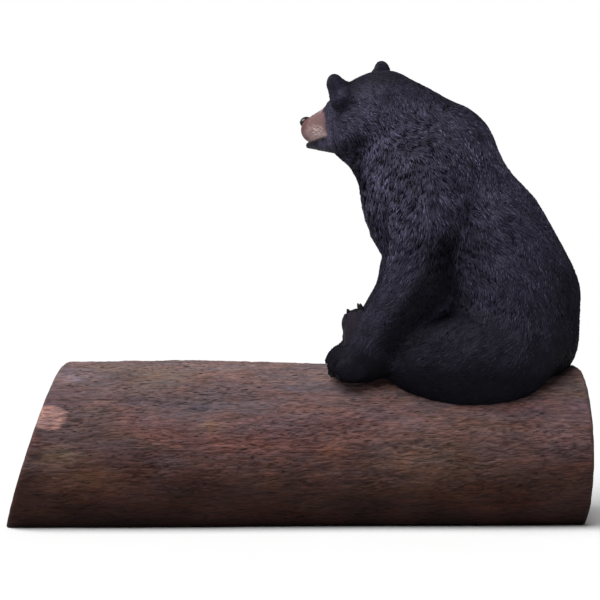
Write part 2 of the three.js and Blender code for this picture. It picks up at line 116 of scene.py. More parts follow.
def ellipsoid(p, centre, radii):
    q = [p[i] - centre[i] for i in range(3)]
    inner = np.sqrt(sum((q[i] / radii[i]) ** 2 for i in range(3)))
    outer = np.sqrt(sum((q[i] / radii[i] ** 2) ** 2 for i in range(3)))
    return inner * (inner - 1) / np.maximum(outer, 1e-9)


def limb(p, a, b, radius_a, radius_b):
    way = [b[i] - a[i] for i in range(3)]
    t = sum((p[i] - a[i]) * way[i] for i in range(3)) / sum(c * c for c in way)
    t = np.clip(t, 0, 1)
    off = np.sqrt(sum((p[i] - a[i] - t * way[i]) ** 2 for i in range(3)))
    return off - (radius_a + (radius_b - radius_a) * t)


def join(a, b, width):
    h = np.maximum(width - np.abs(a - b), 0) / width
    return np.minimum(a, b) - h * h * width / 4


def join_all(width, first, *others):
    for other in others:
        first = join(first, other, width)
    return first


def carve(a, b, width):
    return -join(-a, b, width)


def step(low, high, x):
    t = np.clip((x - low) / (high - low), 0, 1)
    return t * t * (3 - 2 * t)


print("a ball of 10 mm, seen from 30 mm away:", ellipsoid(np.array([30.0, 0, 0]), (0, 0, 0), (10, 10, 10)))

# %% [markdown]
# The head has a frame of its own, because it is turned towards the bench's front and tilted, near ear
# down. Everything on the head is placed as forward, sideways and up from the middle of the skull.

# %% The head's own frame
HEAD_AT = np.array([184.0, 26.0, 1116.0])
HEAD_YAW = math.radians(46)
HEAD_ROLL = math.radians(17)

head_forward = np.array([-math.cos(HEAD_YAW), math.sin(HEAD_YAW), 0.0])
level_side = np.array([-math.sin(HEAD_YAW), -math.cos(HEAD_YAW), 0.0])
head_side = math.cos(HEAD_ROLL) * level_side - math.sin(HEAD_ROLL) * np.array([0, 0, 1.0])
head_up = math.sin(HEAD_ROLL) * level_side + math.cos(HEAD_ROLL) * np.array([0, 0, 1.0])
head_axes = np.array([head_forward, head_side, head_up])


def to_head(p):
    return head_axes @ (p - HEAD_AT[:, None])


def from_head(points):
    return HEAD_AT + np.asarray(points, float) @ head_axes


print("nose tip in the frame:", metres(from_head([[255, 0, -6]])).round(3))

# %% [markdown]
# Now the masses themselves: skull, ears, neck, trunk of the body and limbs. The limbs are given once and
# mirrored by taking the distance from the middle plane without its sign. The hind feet stand on their
# heels with the soles forward, as on a bear that sits like a person.

# %% The bear's masses


def both_sides(p):
    return np.array([p[0], np.abs(p[1]), p[2]])


def muzzle_and_jaw(p):
    wide = np.array([p[0], 0.88 * p[1], p[2]])
    muzzle = limb(wide, (108, 0, -11), (210, 0, -27), 53, 38.5)
    flat = np.array([p[0], 0.6 * p[1], p[2]])
    jaw = limb(flat, (84, 0, -66), (242, 0, -70), 43, 10)
    return muzzle, jaw


EYE_AT = (108, 27, 31)


def skull(p):
    sides = both_sides(p)
    cranium = ellipsoid(p, (0, 0, 12), (106, 95, 78))
    forehead = ellipsoid(p, (78, 0, 10), (54, 38, 39))
    cheek = ellipsoid(sides, (18, 50, -38), (76, 46, 66))
    snout = join(*muzzle_and_jaw(p), 9)
    brow = ellipsoid(sides, (89, 23, 36), (20, 13, 10))
    socket = ellipsoid(sides, EYE_AT, (13, 11, 9))
    head = join(join_all(40, cranium, forehead, cheek), snout, 26)
    return carve(join(head, brow, 20), socket, 8)


def ear(p):
    sides = both_sides(p)
    thin = np.array([2.0 * sides[0], sides[1], sides[2]])
    shell = limb(thin, (4, 86, 65), (2, 100, 100), 42, 26)
    web = limb(thin, (2, 96, 98), (0, 54, 72), 26, 22)
    root = ellipsoid(sides, (-12, 86, 66), (24, 28, 26))
    cup = ellipsoid(sides, (23, 96, 84), (20, 22, 34))
    return carve(join_all(14, shell, web, root), cup, 6)


def neck(p):
    nape = limb(p, (235, 10, 1121), (395, 0, 1024), 108, 115)
    throat = limb(p, (184, 22, 1036), (290, 0, 935), 78, 110)
    return join(nape, throat, 60)


def torso(p):
    seat = ellipsoid(p, (580, 0, 470), (169, 188, 120))
    rump = ellipsoid(p, (558, 0, 600), (208, 194, 212))
    loin = ellipsoid(p, (480, 0, 752), (205, 184, 203))
    chest = ellipsoid(p, (394, 0, 920), (166, 174, 176))
    withers = ellipsoid(p, (418, 0, 990), (79, 86, 83))
    ruff = ellipsoid(p, (304, 0, 866), (126, 128, 168))
    belly = ellipsoid(p, (405, 0, 640), (150, 140, 190))
    return join_all(60, join_all(70, seat, rump, loin, chest, belly), withers, ruff)


def foreleg(p):
    slim = np.array([p[0], 1.14 * (p[1] - 150), p[2]])
    shoulder = ellipsoid(p, (345, 116, 885), (128, 84, 140))
    upper = limb(slim, (345, 0, 850), (322, 0, 690), 98, 88)
    elbow = ellipsoid(slim, (329, 0, 638), (66, 76, 60))
    fore = limb(slim, (320, 0, 640), (188, 0, 468), 89, 64)
    return join_all(36, shoulder, upper, elbow, fore)


def forepaw(p):
    pad = ellipsoid(p, (158, 136, 431), (80, 58, 50))
    knuckles = ellipsoid(p, (130, 136, 426), (38, 55, 34))
    return join(pad, knuckles, 24)


def haunch(p):
    thigh = ellipsoid(p, (455, 148, 437), (212, 92, 129))
    knee = ellipsoid(p, (322, 146, 452), (84, 66, 82))
    shank = limb(p, (310, 138, 452), (196, 74, 452), 70, 50)
    return join_all(45, thigh, knee, shank)


FOOT_AT = (156.0, 64.0, 471.0)
FOOT_SPLAY = math.radians(36)
splay_c, splay_s = math.cos(FOOT_SPLAY), math.sin(FOOT_SPLAY)


def to_foot(p):
    x, y, z = (p[i] - FOOT_AT[i] for i in range(3))
    return np.array([splay_c * x - splay_s * y, splay_s * x + splay_c * y, z])


def from_foot(x, y, z):
    return (
        FOOT_AT[0] + splay_c * x + splay_s * y,
        FOOT_AT[1] - splay_s * x + splay_c * y,
        FOOT_AT[2] + z,
    )


def hind_foot(p):
    q = to_foot(p)
    heel = ellipsoid(q, (6, 0, -18), (40, 42, 42))
    sole = ellipsoid(q, (1, 0, 32), (30, 49, 64))
    return join(heel, sole, 24)


FORE_CLAW = 9.0
HIND_CLAWS = {-2: 21.0, -1: 9.0, 0: 8.0, 1: 25.0, 2: 9.0}
TOES = []
for i in (-2, -1, 0, 1, 2):
    TOES.append(dict(
        at=(116 + 5 * i * i, 136 + 24 * i, 425 - 4 * abs(i)),
        radii=(45, 14.5, 31),
        claw_at=(80 + 5 * i * i, 136 + 24 * i, 408 - 4 * abs(i)),
        claw=(-0.55, 0.06 * i, -0.8),
        claw_length=FORE_CLAW,
    ))
    TOES.append(dict(
        at=from_foot(-1, 18 * i, 74 + 2 * i - 2 * i * i),
        radii=(19, 15, 30),
        claw_at=from_foot(2, 18 * i, 96 + 2 * i - 2 * i * i),
        claw=(-0.2, 0.1, 0.95),
        claw_length=HIND_CLAWS[i],
    ))


def toe_distances(p):
    return np.array([ellipsoid(p, t["at"], t["radii"]) for t in TOES])


def toes(p):
    return toe_distances(p).min(axis=0)


print("toes on each side:", len(TOES))

# %% [markdown]
# The log is a tapered trunk. Its plain distance is needed here already, because the bear's underside is
# cut to the trunk it sits on, a few millimetres into the bark so that no light shows between the two
# castings.

# %% The trunk's measure and the whole bear
CUT_FOOT, CUT_CROWN, CUT_HOLLOW = -776.0, -646.0, 7.0
CUT_MIDDLE = (CUT_FOOT + CUT_CROWN) / 2
RADIUS_AT_CUT, RADIUS_AT_END, TRUNK_SWELL = 250, 226, 2.5
AXIS_AT_CUT, AXIS_AT_END = 181, 193
SEAT_DEPTH = 4.0


def trunk_radius(t):
    return RADIUS_AT_CUT + (RADIUS_AT_END - RADIUS_AT_CUT) * t + TRUNK_SWELL * np.sin(11 * t - 1.2)


def trunk_axis(t):
    return AXIS_AT_CUT + (AXIS_AT_END - AXIS_AT_CUT) * t


def trunk_distance(p):
    t = np.clip((p[0] - CUT_MIDDLE) / (LOG_END - CUT_MIDDLE), 0, 1)
    return np.hypot(p[1], p[2] - trunk_axis(t)) - trunk_radius(t)


def bear_distance(p):
    side = both_sides(p)
    low, high = p[2].min(), p[2].max()
    body = join(join(torso(side), haunch(side), 34), foreleg(side), 16)
    if low < 680:
        body = join(join(body, forepaw(side), 24), hind_foot(side), 26)
        body = join(body, toes(side), 5)
        body = np.maximum(body, -(trunk_distance(p) + SEAT_DEPTH))
    if high > 700:
        body = join(body, neck(p), 60)
    if high > 880:
        head = to_head(p)
        body = join(join(body, skull(head), 40), ear(head), 24)
    return body


def bear_normal(p, reach=1.5):
    slope = np.empty_like(p)
    for axis in range(3):
        shift = np.zeros((3, 1))
        shift[axis] = reach
        slope[axis] = bear_distance(p + shift) - bear_distance(p - shift)
    return slope / np.maximum(np.linalg.norm(slope, axis=0), 1e-9)


print("depth at the heart of the chest:", bear_distance(np.array([[392.0], [0.0], [920.0]])).round(0), "mm")

# %% [markdown]
# A surface net turns the distance into a mesh: one point in each grid cell that the surface passes
# through, one quad across each grid edge that it crosses. The grid is finer where the face, paws and feet
# are. The points then slide onto the true surface along its slope.

# %% A surface net over a graded grid


def grid_lines(low, high, step_at):
    lines = [low]
    while lines[-1] < high:
        lines.append(lines[-1] + step_at(lines[-1]))
    return np.array(lines)


def fill_pinches(field):
    """Fills one more corner of any grid square whose inside corners lie on one diagonal."""
    for _ in range(6):
        filled = 0
        for a, b in ((0, 1), (1, 2), (0, 2)):
            def corner(i, j):
                cut = [slice(None)] * 3
                cut[a] = slice(1, None) if i else slice(None, -1)
                cut[b] = slice(1, None) if j else slice(None, -1)
                return field[tuple(cut)]
            inside = [[corner(i, j) < 0 for j in (0, 1)] for i in (0, 1)]
            same = (inside[0][0] == inside[1][1]) & (inside[0][1] == inside[1][0])
            pinched = same & (inside[0][0] != inside[0][1])
            corner(0, 0)[pinched & ~inside[0][0]] = -0.2
            corner(0, 1)[pinched & inside[0][0]] = -0.2
            filled += int(pinched.sum())
        if not filled:
            break
    return field


def surface_net(field, lines):
    cells = tuple(n - 1 for n in field.shape)
    total = np.zeros(cells + (3,), np.float32)
    count = np.zeros(cells, np.int16)
    crossings = []
    for axis in range(3):
        lower = [slice(None)] * 3
        upper = [slice(None)] * 3
        lower[axis], upper[axis] = slice(None, -1), slice(1, None)
        f0, f1 = field[tuple(lower)], field[tuple(upper)]
        crossed = (f0 < 0) != (f1 < 0)
        where = np.nonzero(crossed)
        t = f0[where] / (f0[where] - f1[where])
        spot = np.stack([lines[k][where[k]] for k in range(3)], axis=1)
        spot[:, axis] += t * np.diff(lines[axis])[where[axis]]
        across = [k for k in range(3) if k != axis]
        for da in (0, 1):
            for db in (0, 1):
                cell = list(where)
                cell[across[0]] = cell[across[0]] - da
                cell[across[1]] = cell[across[1]] - db
                fits = np.all([(c >= 0) & (c < n) for c, n in zip(cell, cells)], axis=0)
                cell = tuple(c[fits] for c in cell)
                np.add.at(total, cell, spot[fits])
                np.add.at(count, cell, 1)
        crossings.append((where, f0[where] < 0))
    number = np.full(cells, -1, np.int64)
    used = count > 0
    number[used] = np.arange(used.sum())
    points = total[used] / count[used][:, None]
    quads = []
    for axis, (where, leaving) in enumerate(crossings):
        u, v = (axis + 1) % 3, (axis + 2) % 3
        ring = []
        for du, dv in ((1, 1), (0, 1), (0, 0), (1, 0)):
            cell = list(where)
            cell[u] = cell[u] - du
            cell[v] = cell[v] - dv
            ring.append(number[tuple(cell)])
        ring = np.stack(ring, axis=1)
        ring[~leaving] = ring[~leaving][:, ::-1]
        quads.append(ring)
    return points, np.concatenate(quads)


FINE, FEET, ACROSS, COARSE = 4.3, 4.9, 5.2, 6.2
grid = [
    grid_lines(-24.0, 792.0, lambda x: FINE if x < 250 else COARSE),
    grid_lines(-250.0, 255.0, lambda y: ACROSS),
    grid_lines(286.0, 1286.0, lambda z: FINE if z > 1005 else (FEET if z < 605 else COARSE)),
]
field = np.empty([len(g) for g in grid], np.float32)
flat = np.stack([g.ravel() for g in np.meshgrid(grid[0], grid[1], indexing="ij")])
for k, height in enumerate(grid[2]):
    layer = np.vstack([flat, np.full(flat.shape[1], height)])
    field[:, :, k] = bear_distance(layer).reshape(len(grid[0]), len(grid[1]))
body_points, body_quads = surface_net(fill_pinches(field), grid)
body_points = body_points.T.astype(float)
for _ in range(2):
    body_points = body_points - 0.9 * bear_distance(body_points) * bear_normal(body_points)
body_normals = bear_normal(body_points)
print("body net:", body_points.shape[1], "points,", len(body_quads), "quads")

# %% [markdown]
# Fur lies in streams: back from the face, down the spine and flanks, down the arms, forward along the
# thighs. A few directions are given where the photograph shows them, and every point takes a blend of the
# nearest, laid flat on the surface and turned a little by slow waves, so that no two strokes run quite
# alike.

# %% The way the fur lies
WAVE_COUNT = 48
wave_turns = np.arange(WAVE_COUNT) * math.pi * (3 - math.sqrt(5))
wave_heights = 1 - 2 * (np.arange(WAVE_COUNT) + 0.5) / WAVE_COUNT
wave_rings = np.sqrt(1 - wave_heights**2)
WAVES = np.stack([wave_rings * np.cos(wave_turns), wave_rings * np.sin(wave_turns), wave_heights], axis=1)
STRETCH = 0.7 + 0.6 * ((np.arange(WAVE_COUNT) * 0.618) % 1)
PHASE = np.arange(WAVE_COUNT) * 1.713


def grain(p, lie, spacing, length):
    """Waves that stay only where they run across the lie: long ridges, about one in spread."""
    total = np.zeros(p.shape[1])
    power = np.full(p.shape[1], 1e-6)
    for way, stretch, phase in zip(WAVES, STRETCH, PHASE):
        k = 2 * math.pi / (spacing * stretch)
        share = np.sinc(0.5 * length * k * (way @ lie) / math.pi)
        total += share * np.sin(k * (way @ p) + phase)
        power += 0.5 * share * share
    return total / np.sqrt(power)


def locks(wave):
    """Rounded ridges with sharp grooves between them, about zero on average."""
    return np.minimum(1.4, np.abs(wave)) - 0.72


def slow(p, size):
    """A smooth wandering value for each point, about one in spread."""
    return grain(p, np.zeros_like(p), size, 0.0)


STREAMS = [
    # where on the bear,  which way the fur runs,  how far this reaches
    ((300, 30, 1150), (0.85, 0.10, -0.50), 130),
    ((300, 120, 1050), (0.60, 0.10, -0.80), 120),
    ((450, 30, 1040), (0.70, 0.10, -0.70), 130),
    ((440, 150, 930), (0.55, 0.10, -0.85), 130),
    ((560, 60, 880), (0.62, 0.10, -0.78), 150),
    ((620, 120, 720), (0.45, 0.10, -0.90), 170),
    ((700, 0, 640), (0.25, 0.00, -0.97), 150),
    ((520, 180, 650), (0.30, 0.10, -0.95), 130),
    ((650, 120, 500), (-0.10, 0.10, -0.99), 130),
    ((260, 60, 960), (-0.15, 0.20, -0.97), 110),
    ((200, 0, 850), (0.25, 0.20, -0.97), 110),
    ((340, 190, 850), (-0.25, 0.10, -0.96), 120),
    ((340, 200, 700), (-0.15, 0.00, -0.99), 110),
    ((300, 200, 600), (-0.55, 0.00, -0.83), 100),
    ((210, 180, 500), (-0.68, 0.00, -0.73), 100),
    ((120, 136, 440), (-0.95, 0.00, -0.30), 80),
    ((560, 210, 480), (-0.55, 0.10, -0.83), 110),
    ((430, 215, 480), (-0.78, 0.10, -0.62), 110),
    ((320, 200, 440), (-0.95, 0.05, -0.30), 90),
]
LIE_WAVES = ((16, 210.0), (11, 70.0), (8, 36.0))  # degrees of turn, and millimetres from wave to wave


def fur_lie(p, normal):
    side = both_sides(p)
    sign = np.where(p[1] < 0, -1.0, 1.0)
    total = np.zeros_like(p)
    for at, way, reach in STREAMS:
        off = side - np.array(at, float)[:, None]
        weight = np.exp(-(off**2).sum(axis=0) / reach**2)
        total += weight * np.array([np.full_like(sign, way[0]), way[1] * sign, np.full_like(sign, way[2])])
    q = to_head(p)
    near_head = 3 * np.exp(-(((q[0] - 60) / 130) ** 2 + (q[1] / 130) ** 2 + (q[2] / 120) ** 2))
    droop = step(30, -60, q[2])
    outward = 0.45 * np.sign(q[1]) * step(10, 50, np.abs(q[1]))
    face = np.array([-1 + 0.35 * droop, outward, -0.1 - 0.65 * droop])
    total += near_head * (head_axes.T @ face)
    total -= normal * (total * normal).sum(axis=0)
    total /= np.maximum(np.linalg.norm(total, axis=0), 1e-9)
    turn = sum(np.radians(degrees) * slow(p, size) for degrees, size in LIE_WAVES)
    return np.cos(turn) * total + np.sin(turn) * np.cross(normal.T, total.T).T


body_lie = fur_lie(body_points, body_normals)
print("mean lie:", body_lie.mean(axis=1).round(2))

# %% [markdown]
# Where the fur is long, short or missing follows the animal. The ruff, chest and elbows carry thick
# locks; the back is smooth and combed; face and paws are short; nose, soles and toe pads are bare. First
# each region becomes a share between 0 and 1 on the body's points.

# %% Regions of the body
body_x, body_y, body_z = body_points
folded = both_sides(body_points)
on_skull = to_head(body_points)
forward, sideways, upward = on_skull
muzzle_gap, jaw_gap = muzzle_and_jaw(on_skull)
eye_gap = np.linalg.norm(both_sides(on_skull) - np.array(EYE_AT)[:, None], axis=0)
in_face = step(150, 100, np.linalg.norm(on_skull - np.array([190, 0, -30])[:, None], axis=0))
in_head = step(230, 150, np.linalg.norm(on_skull - np.array([40, 0, -10])[:, None], axis=0))
ear_gap = ear(on_skull)
on_ear = step(9, 3, ear_gap) * step(46, 62, upward)
foot_x, foot_y, _ = to_foot(folded)
in_paw = step(28, 12, ellipsoid(folded, (150, 136, 430), (86, 62, 50)))
in_sole = step(-6, -16, foot_x) * step(75, 60, np.abs(foot_y)) * step(16, 6, hind_foot(folded))
in_sole = in_sole * step(700, 640, body_z) * (1 - in_paw)
toe_gap, next_toe_gap = np.sort(toe_distances(folded), axis=0)[:2]
on_toe = step(5, 1, toe_gap)
in_limb = step(30, 5, np.minimum(foreleg(folded), haunch(folded))) * step(760, 640, body_z)


def around(at, reach):
    off = folded - np.array(at, float)[:, None]
    return np.exp(-(off**2).sum(axis=0) / reach**2)


SHAGGY_AT = (
    # how thick the locks, where, how far this reaches
    (1.0, (230, 60, 900), 150),
    (0.9, (330, 190, 860), 140),
    (0.8, (400, 190, 690), 90),
    (0.5, (180, 60, 1010), 90),
    (0.35, (330, 205, 520), 90),
)
shaggy = np.clip(sum(share * around(at, reach) for share, at, reach in SHAGGY_AT), 0, 1)
fur_length = 29 + 8 * shaggy - 5 * in_limb - 10 * in_head * (1 - 0.3 * shaggy)
fur_length = fur_length * (1 - 0.6 * in_face) * (1 - 0.5 * in_paw)
furred = (1 - in_sole) * (1 - on_toe * step(640, 600, body_z) * 0.7) * step(20, 40, eye_gap)
furred = furred * (1 - step(196, 214, forward) * in_face) * (1 - 0.8 * on_ear)
smooth_part = np.clip(in_face + in_sole + on_ear + 0.7 * in_paw + 0.6 * on_toe, 0, 1)
print("fur", fur_length.min().round(1), "to", fur_length.max().round(1), "mm long")

# %% [markdown]
# The locks are raised in the mesh itself: broad and middling ridges that follow the lie, and a row of
# ragged tufts along the shoulder and down the fold behind the arm, each rising slowly and ending in a
# step.

# %% Locks and tufts
BROAD_LOCK, MIDDLE_LOCK = (74.0, 190.0), (30.0, 95.0)  # spacing and length
broad = locks(grain(body_points, body_lie, *BROAD_LOCK))
middle = locks(grain(body_points, body_lie, *MIDDLE_LOCK))
shoulder_line = 890 + 0.235 * (body_x - 198)
tufted = np.exp(-(((body_z - shoulder_line) / 52) ** 2)) * step(170, 230, body_x)
fold_line = 409 + 0.155 * (body_z - 599)
in_fold = np.exp(-(((body_x - fold_line) / 45) ** 2)) * step(560, 660, body_z)
tufted = np.maximum(tufted * step(560, 480, body_x), in_fold * step(930, 840, body_z))
tufted = tufted * step(40, 110, np.abs(body_y))
TUFT_LENGTH, TUFT_RISE = 42.0, 3.4
fall = 0.3 * body_x - 0.95 * body_z
fall = fall + 11 * slow(body_points, 34.0) + 9 * slow(body_points, 19.0)
tuft_share = (fall / TUFT_LENGTH) % 1.0
relief = (1.2 + 3.4 * shaggy) * broad + (1.0 + 1.7 * shaggy) * middle
relief = relief + TUFT_RISE * tufted * (tuft_share - 0.5)
relief = relief * (1 - smooth_part) * (1 - 0.45 * in_limb) * (1 - 0.4 * in_head)
relief = relief * (1 - step(SEAT_DEPTH + 3, SEAT_DEPTH, np.abs(trunk_distance(body_points))))
body_skin = body_points + body_normals * relief
print("locks stand", relief.min().round(1), "to", relief.max().round(1), "mm off the plain form")

# %% [markdown]
# The body's mesh keeps all this as attributes: the lie for the strokes and the fine bump, lengths and
# cover for scattering, and masks for the painter: tan on the muzzle, dark lips, and worn leather on the
# soles.

# %% The body's mesh and its masks
tan_edge = 98 + 21 * step(6, 32, upward) + 10 * step(-25, -55, upward) + 3 * slow(body_points, 26.0)
tan = step(-7, 9, forward - tan_edge) * step(82, 70, np.abs(sideways)) * step(-2, 3, jaw_gap - muzzle_gap)
tan = tan * step(17, 30, eye_gap) * in_face
lips = step(7, 2, np.abs(jaw_gap - muzzle_gap)) * step(120, 140, forward) * in_face
lips = np.maximum(lips, 0.6 * step(2, -4, jaw_gap - muzzle_gap) * step(150, 185, forward) * in_face)
# painted shade along the muzzle's upper side, and darker towards the nose
snout_tip = 0.7 * step(-40, 0, upward) * step(34, 16, upward) + 0.6 * step(185, 222, forward)
ON_HEAD, ON_BACK, ON_LIMBS = 0.0, 1.0, 2.0
region = np.where(in_limb > 0.5, ON_LIMBS, ON_BACK)
region = np.where(in_head + step(960, 1010, body_z) > 0.5, ON_HEAD, region)
seat_cut = (trunk_distance(body_points) < -1.5) & (body_z < 470)

body_mesh = new_mesh("bear_body", metres(body_skin.T), body_quads)
for mask_name, values in {
    "lie": body_lie.T,
    "stroke_length": fur_length / 1000,
    "stroke_cover": np.where(seat_cut, 0, furred),
    "tuft": (0.2 + 1.5 * shaggy) / 1000 * (1 - smooth_part),
    "region": region,
    "tan": tan,
    "lips": lips,
    "snout_tip": np.clip(snout_tip, 0, 1),
    "stipple": 0.9 * step(205, 160, forward) * step(108, 132, forward) * step(0, -24, upward),
    "leather": in_sole,
    # ridge: lighter on the crests of the locks, as dry-brushing, and darker in the grooves, as painted
    # shade
    "ridge": np.clip(0.5 + 0.3 * (broad * shaggy + middle), 0, 1),
}.items():
    store(body_mesh, mask_name, values)
print("painted tan:", int((tan > 0.5).sum()), "points of", len(tan))

# %% [markdown]
# The coat carries painted light and shade: lighter on the head, neck and shoulders, darker low down and
# where the surface faces up, and nearly black on the rump, the paws and in the hollow between arm and
# thigh. Painted shade also lies under the jaw, at the root of the ears, between the toes and under the
# tufts, the toes get painted light, and the ears are a little darker. One number for each point holds
# this, broken up by soft clouds of uneven tone, so that body and strokes can share it. A second one says
# where single strokes carry a painted glint.

# %% Painted light and shade on the coat
# painted light and shade by height, darker low down; then the lines where painted shade lies behind the arm
# and under the jaw
COAT_HEIGHTS = (400, 520, 640, 760, 900, 1050, 1200)
COAT_SHADES = (0.01, 0.08, 0.1, 0.125, 0.2, 0.195, 0.142)
ARM_HOLLOW = ((390, 235, 730), (352, 235, 632), (255, 235, 490))
THROAT_HOLLOW = ((92, 0, 1006), (150, 0, 1026), (150, 0, 975), (164, 0, 905))


def along_line(p, line):
    """How far each point is from a line of straight runs."""
    return np.min([limb(p, a, b, 0, 0) for a, b in zip(line, line[1:])], axis=0)


# painted light and shade: set by height, and darker where the surface faces up
shade = np.interp(body_z, COAT_HEIGHTS, COAT_SHADES) * np.clip(1.6 - 1.5 * body_normals[2], 0.44, 1.5)
from_throat = along_line(np.array([body_x, np.zeros_like(body_y), body_z]), THROAT_HOLLOW)
tuft_root = step(0.3, 0.05, np.minimum(tuft_share, 1.15 - tuft_share))
for darker in (
    # painted shade on the rump, away from the light
    0.68 * step(600, 720, body_x) * step(800, 600, body_z),  # the rump
    # painted shade in the hollow between arm and thigh
    0.88 * step(78, 30, along_line(folded, ARM_HOLLOW)),
    # painted shade low on the paws
    0.7 * in_paw * step(480, 440, body_z),  # low on the paws
    # painted light on the toes
    -1.6 * on_toe * in_paw,  # below zero, as the toes are lighter
    # painted shade in the grooves between two toes
    0.85 * step(9, 3, toe_gap) * step(7, 1, next_toe_gap - toe_gap),  # between two toes
    0.18 * on_ear,
    # painted shade at the root of the ears
    0.5 * step(16, 5, ear_gap) * step(72, 50, upward),  # at the root of the ears
    # painted shade under the jaw, down the throat
    0.7 * step(36, 10, from_throat + 3 * slow(body_points, 30.0)),
    # painted shadow under the tips of the tufts
    0.55 * tufted * tuft_root,
):
    shade = shade * (1 - darker)
shade = shade * np.clip(1 + 0.12 * slow(body_points, 90.0) + 0.12 * slow(body_points, 38.0), 0.5, 1.6)
store(body_mesh, "shade", shade)
# where single strokes carry a painted glint: most over the withers and the top of the neck
store(body_mesh, "gleam", 0.6 + 2.6 * around((455, 110, 985), 75) + 1.2 * around((400, 90, 1050), 110))
print("coat shade from", shade.min().round(3), "to", shade.max().round(3))

# %% [markdown]
# Materials next, so that later cells can hand them out. A small helper adds a node, sets its plain values
# and links the rest, which keeps each finish readable as a recipe.

# %% A helper for node recipes


def feed(tree, node, values):
    """Values go to a node's inputs by name or number; sockets among them are linked."""
    for key, value in values.items():
        if isinstance(key, int):
            socket = node.inputs[key]
        else:
            socket = next(s for s in node.inputs if s.name == key and s.enabled)
        if isinstance(value, bpy.types.NodeSocket):
            tree.links.new(value, socket)
        else:
            socket.default_value = value


def add(tree, kind, values=None, **settings):
    """Adds a node with its settings and feeds it."""
    node = tree.nodes.new(kind)
    for key, value in settings.items():
        setattr(node, key, value)
    feed(tree, node, values or {})
    return node


def out(node, name=None):
    """The node's first live output, or the one of that name."""
    return next(s for s in node.outputs if s.enabled and (name is None or s.name == name))


def colour(hex_code):
    """A painter's sRGB hex code as linear light."""
    parts = [int(hex_code[i:i + 2], 16) / 255 for i in (0, 2, 4)]
    return [c / 12.92 if c <= 0.04045 else ((c + 0.055) / 1.055) ** 2.4 for c in parts] + [1.0]


def blend(tree, share, a, b, mode="MIX"):
    """Two colours mixed; a mix node keeps its colours at inputs 6 and 7 and at output 2."""
    values = {0: share, 6: a, 7: b}
    return add(tree, "ShaderNodeMix", values, data_type="RGBA", blend_type=mode).outputs[2]


def number(tree, operation, a, b=0.0, clamp=False):
    return out(add(tree, "ShaderNodeMath", {0: a, 1: b}, operation=operation, use_clamp=clamp))


def attribute(tree, name, what="Fac"):
    return out(add(tree, "ShaderNodeAttribute", attribute_name=name), what)


def noise(tree, place_socket, scale, detail=2.0, roughness=0.5):
    return out(add(tree, "ShaderNodeTexNoise", {
        "Vector": place_socket, "Scale": scale, "Detail": detail, "Roughness": roughness,
    }))


def between(tree, value, low, high, to_low=0.0, to_high=1.0):
    return out(add(tree, "ShaderNodeMapRange", {
        "Value": value, "From Min": low, "From Max": high, "To Min": to_low, "To Max": to_high,
    }))


def new_finish(name):
    material = bpy.data.materials.new(name)
    material.use_nodes = True
    tree = material.node_tree
    shader = tree.nodes["Principled BSDF"]
    return material, tree, shader


print("helpers ready; mid grey is", [round(c, 3) for c in colour("808080")[:3]])

# %% [markdown]
# Fur paint: nearly black with a violet-grey cast, as thinned black over grey primer, under the coat's
# painted light and shade. Fine hairs are a bump that is smeared along the lie: the same noise is read at
# several places along each hair and averaged. Ridges are dry-brushed a little lighter, with painted shade
# in the grooves between locks; each stroke has painted shade along its edges and a painted highlight on
# its crest, and a few carry a painted glint. The muzzle's tan is stippled with paler dots, with painted
# shade along its upper side and darker towards the nose, and the lips stay dark.

# %% Fur paint
FUR_DEEP, FUR_LIGHT = "07060b", "716c89"
# MUZZLE_TIP is painted shade along the muzzle's upper side, and darker towards the nose
MUZZLE_DULL, MUZZLE_PALE, MUZZLE_TIP, MUZZLE_DOTS = "82686a", "a08688", "5c4241", "d9c6bf"
LIP_DARK, SOLE_DEEP, SOLE_LIGHT = "17151a", "17131a", "26212a"


def hair_bump(tree, here, scale, reach, samples=8):
    """Noise averaged along the lie, so that it draws out into hairs."""
    lie = attribute(tree, "lie", "Vector")
    total = None
    for i in range(samples):
        way_along = reach * (i / (samples - 1) - 0.5)
        shift = out(add(tree, "ShaderNodeVectorMath", {0: lie, "Scale": way_along}, operation="SCALE"))
        spot = out(add(tree, "ShaderNodeVectorMath", {0: here, 1: shift}, operation="ADD"))
        sample = noise(tree, spot, scale, 1.0)
        total = sample if total is None else number(tree, "ADD", total, sample)
    return number(tree, "DIVIDE", total, samples)


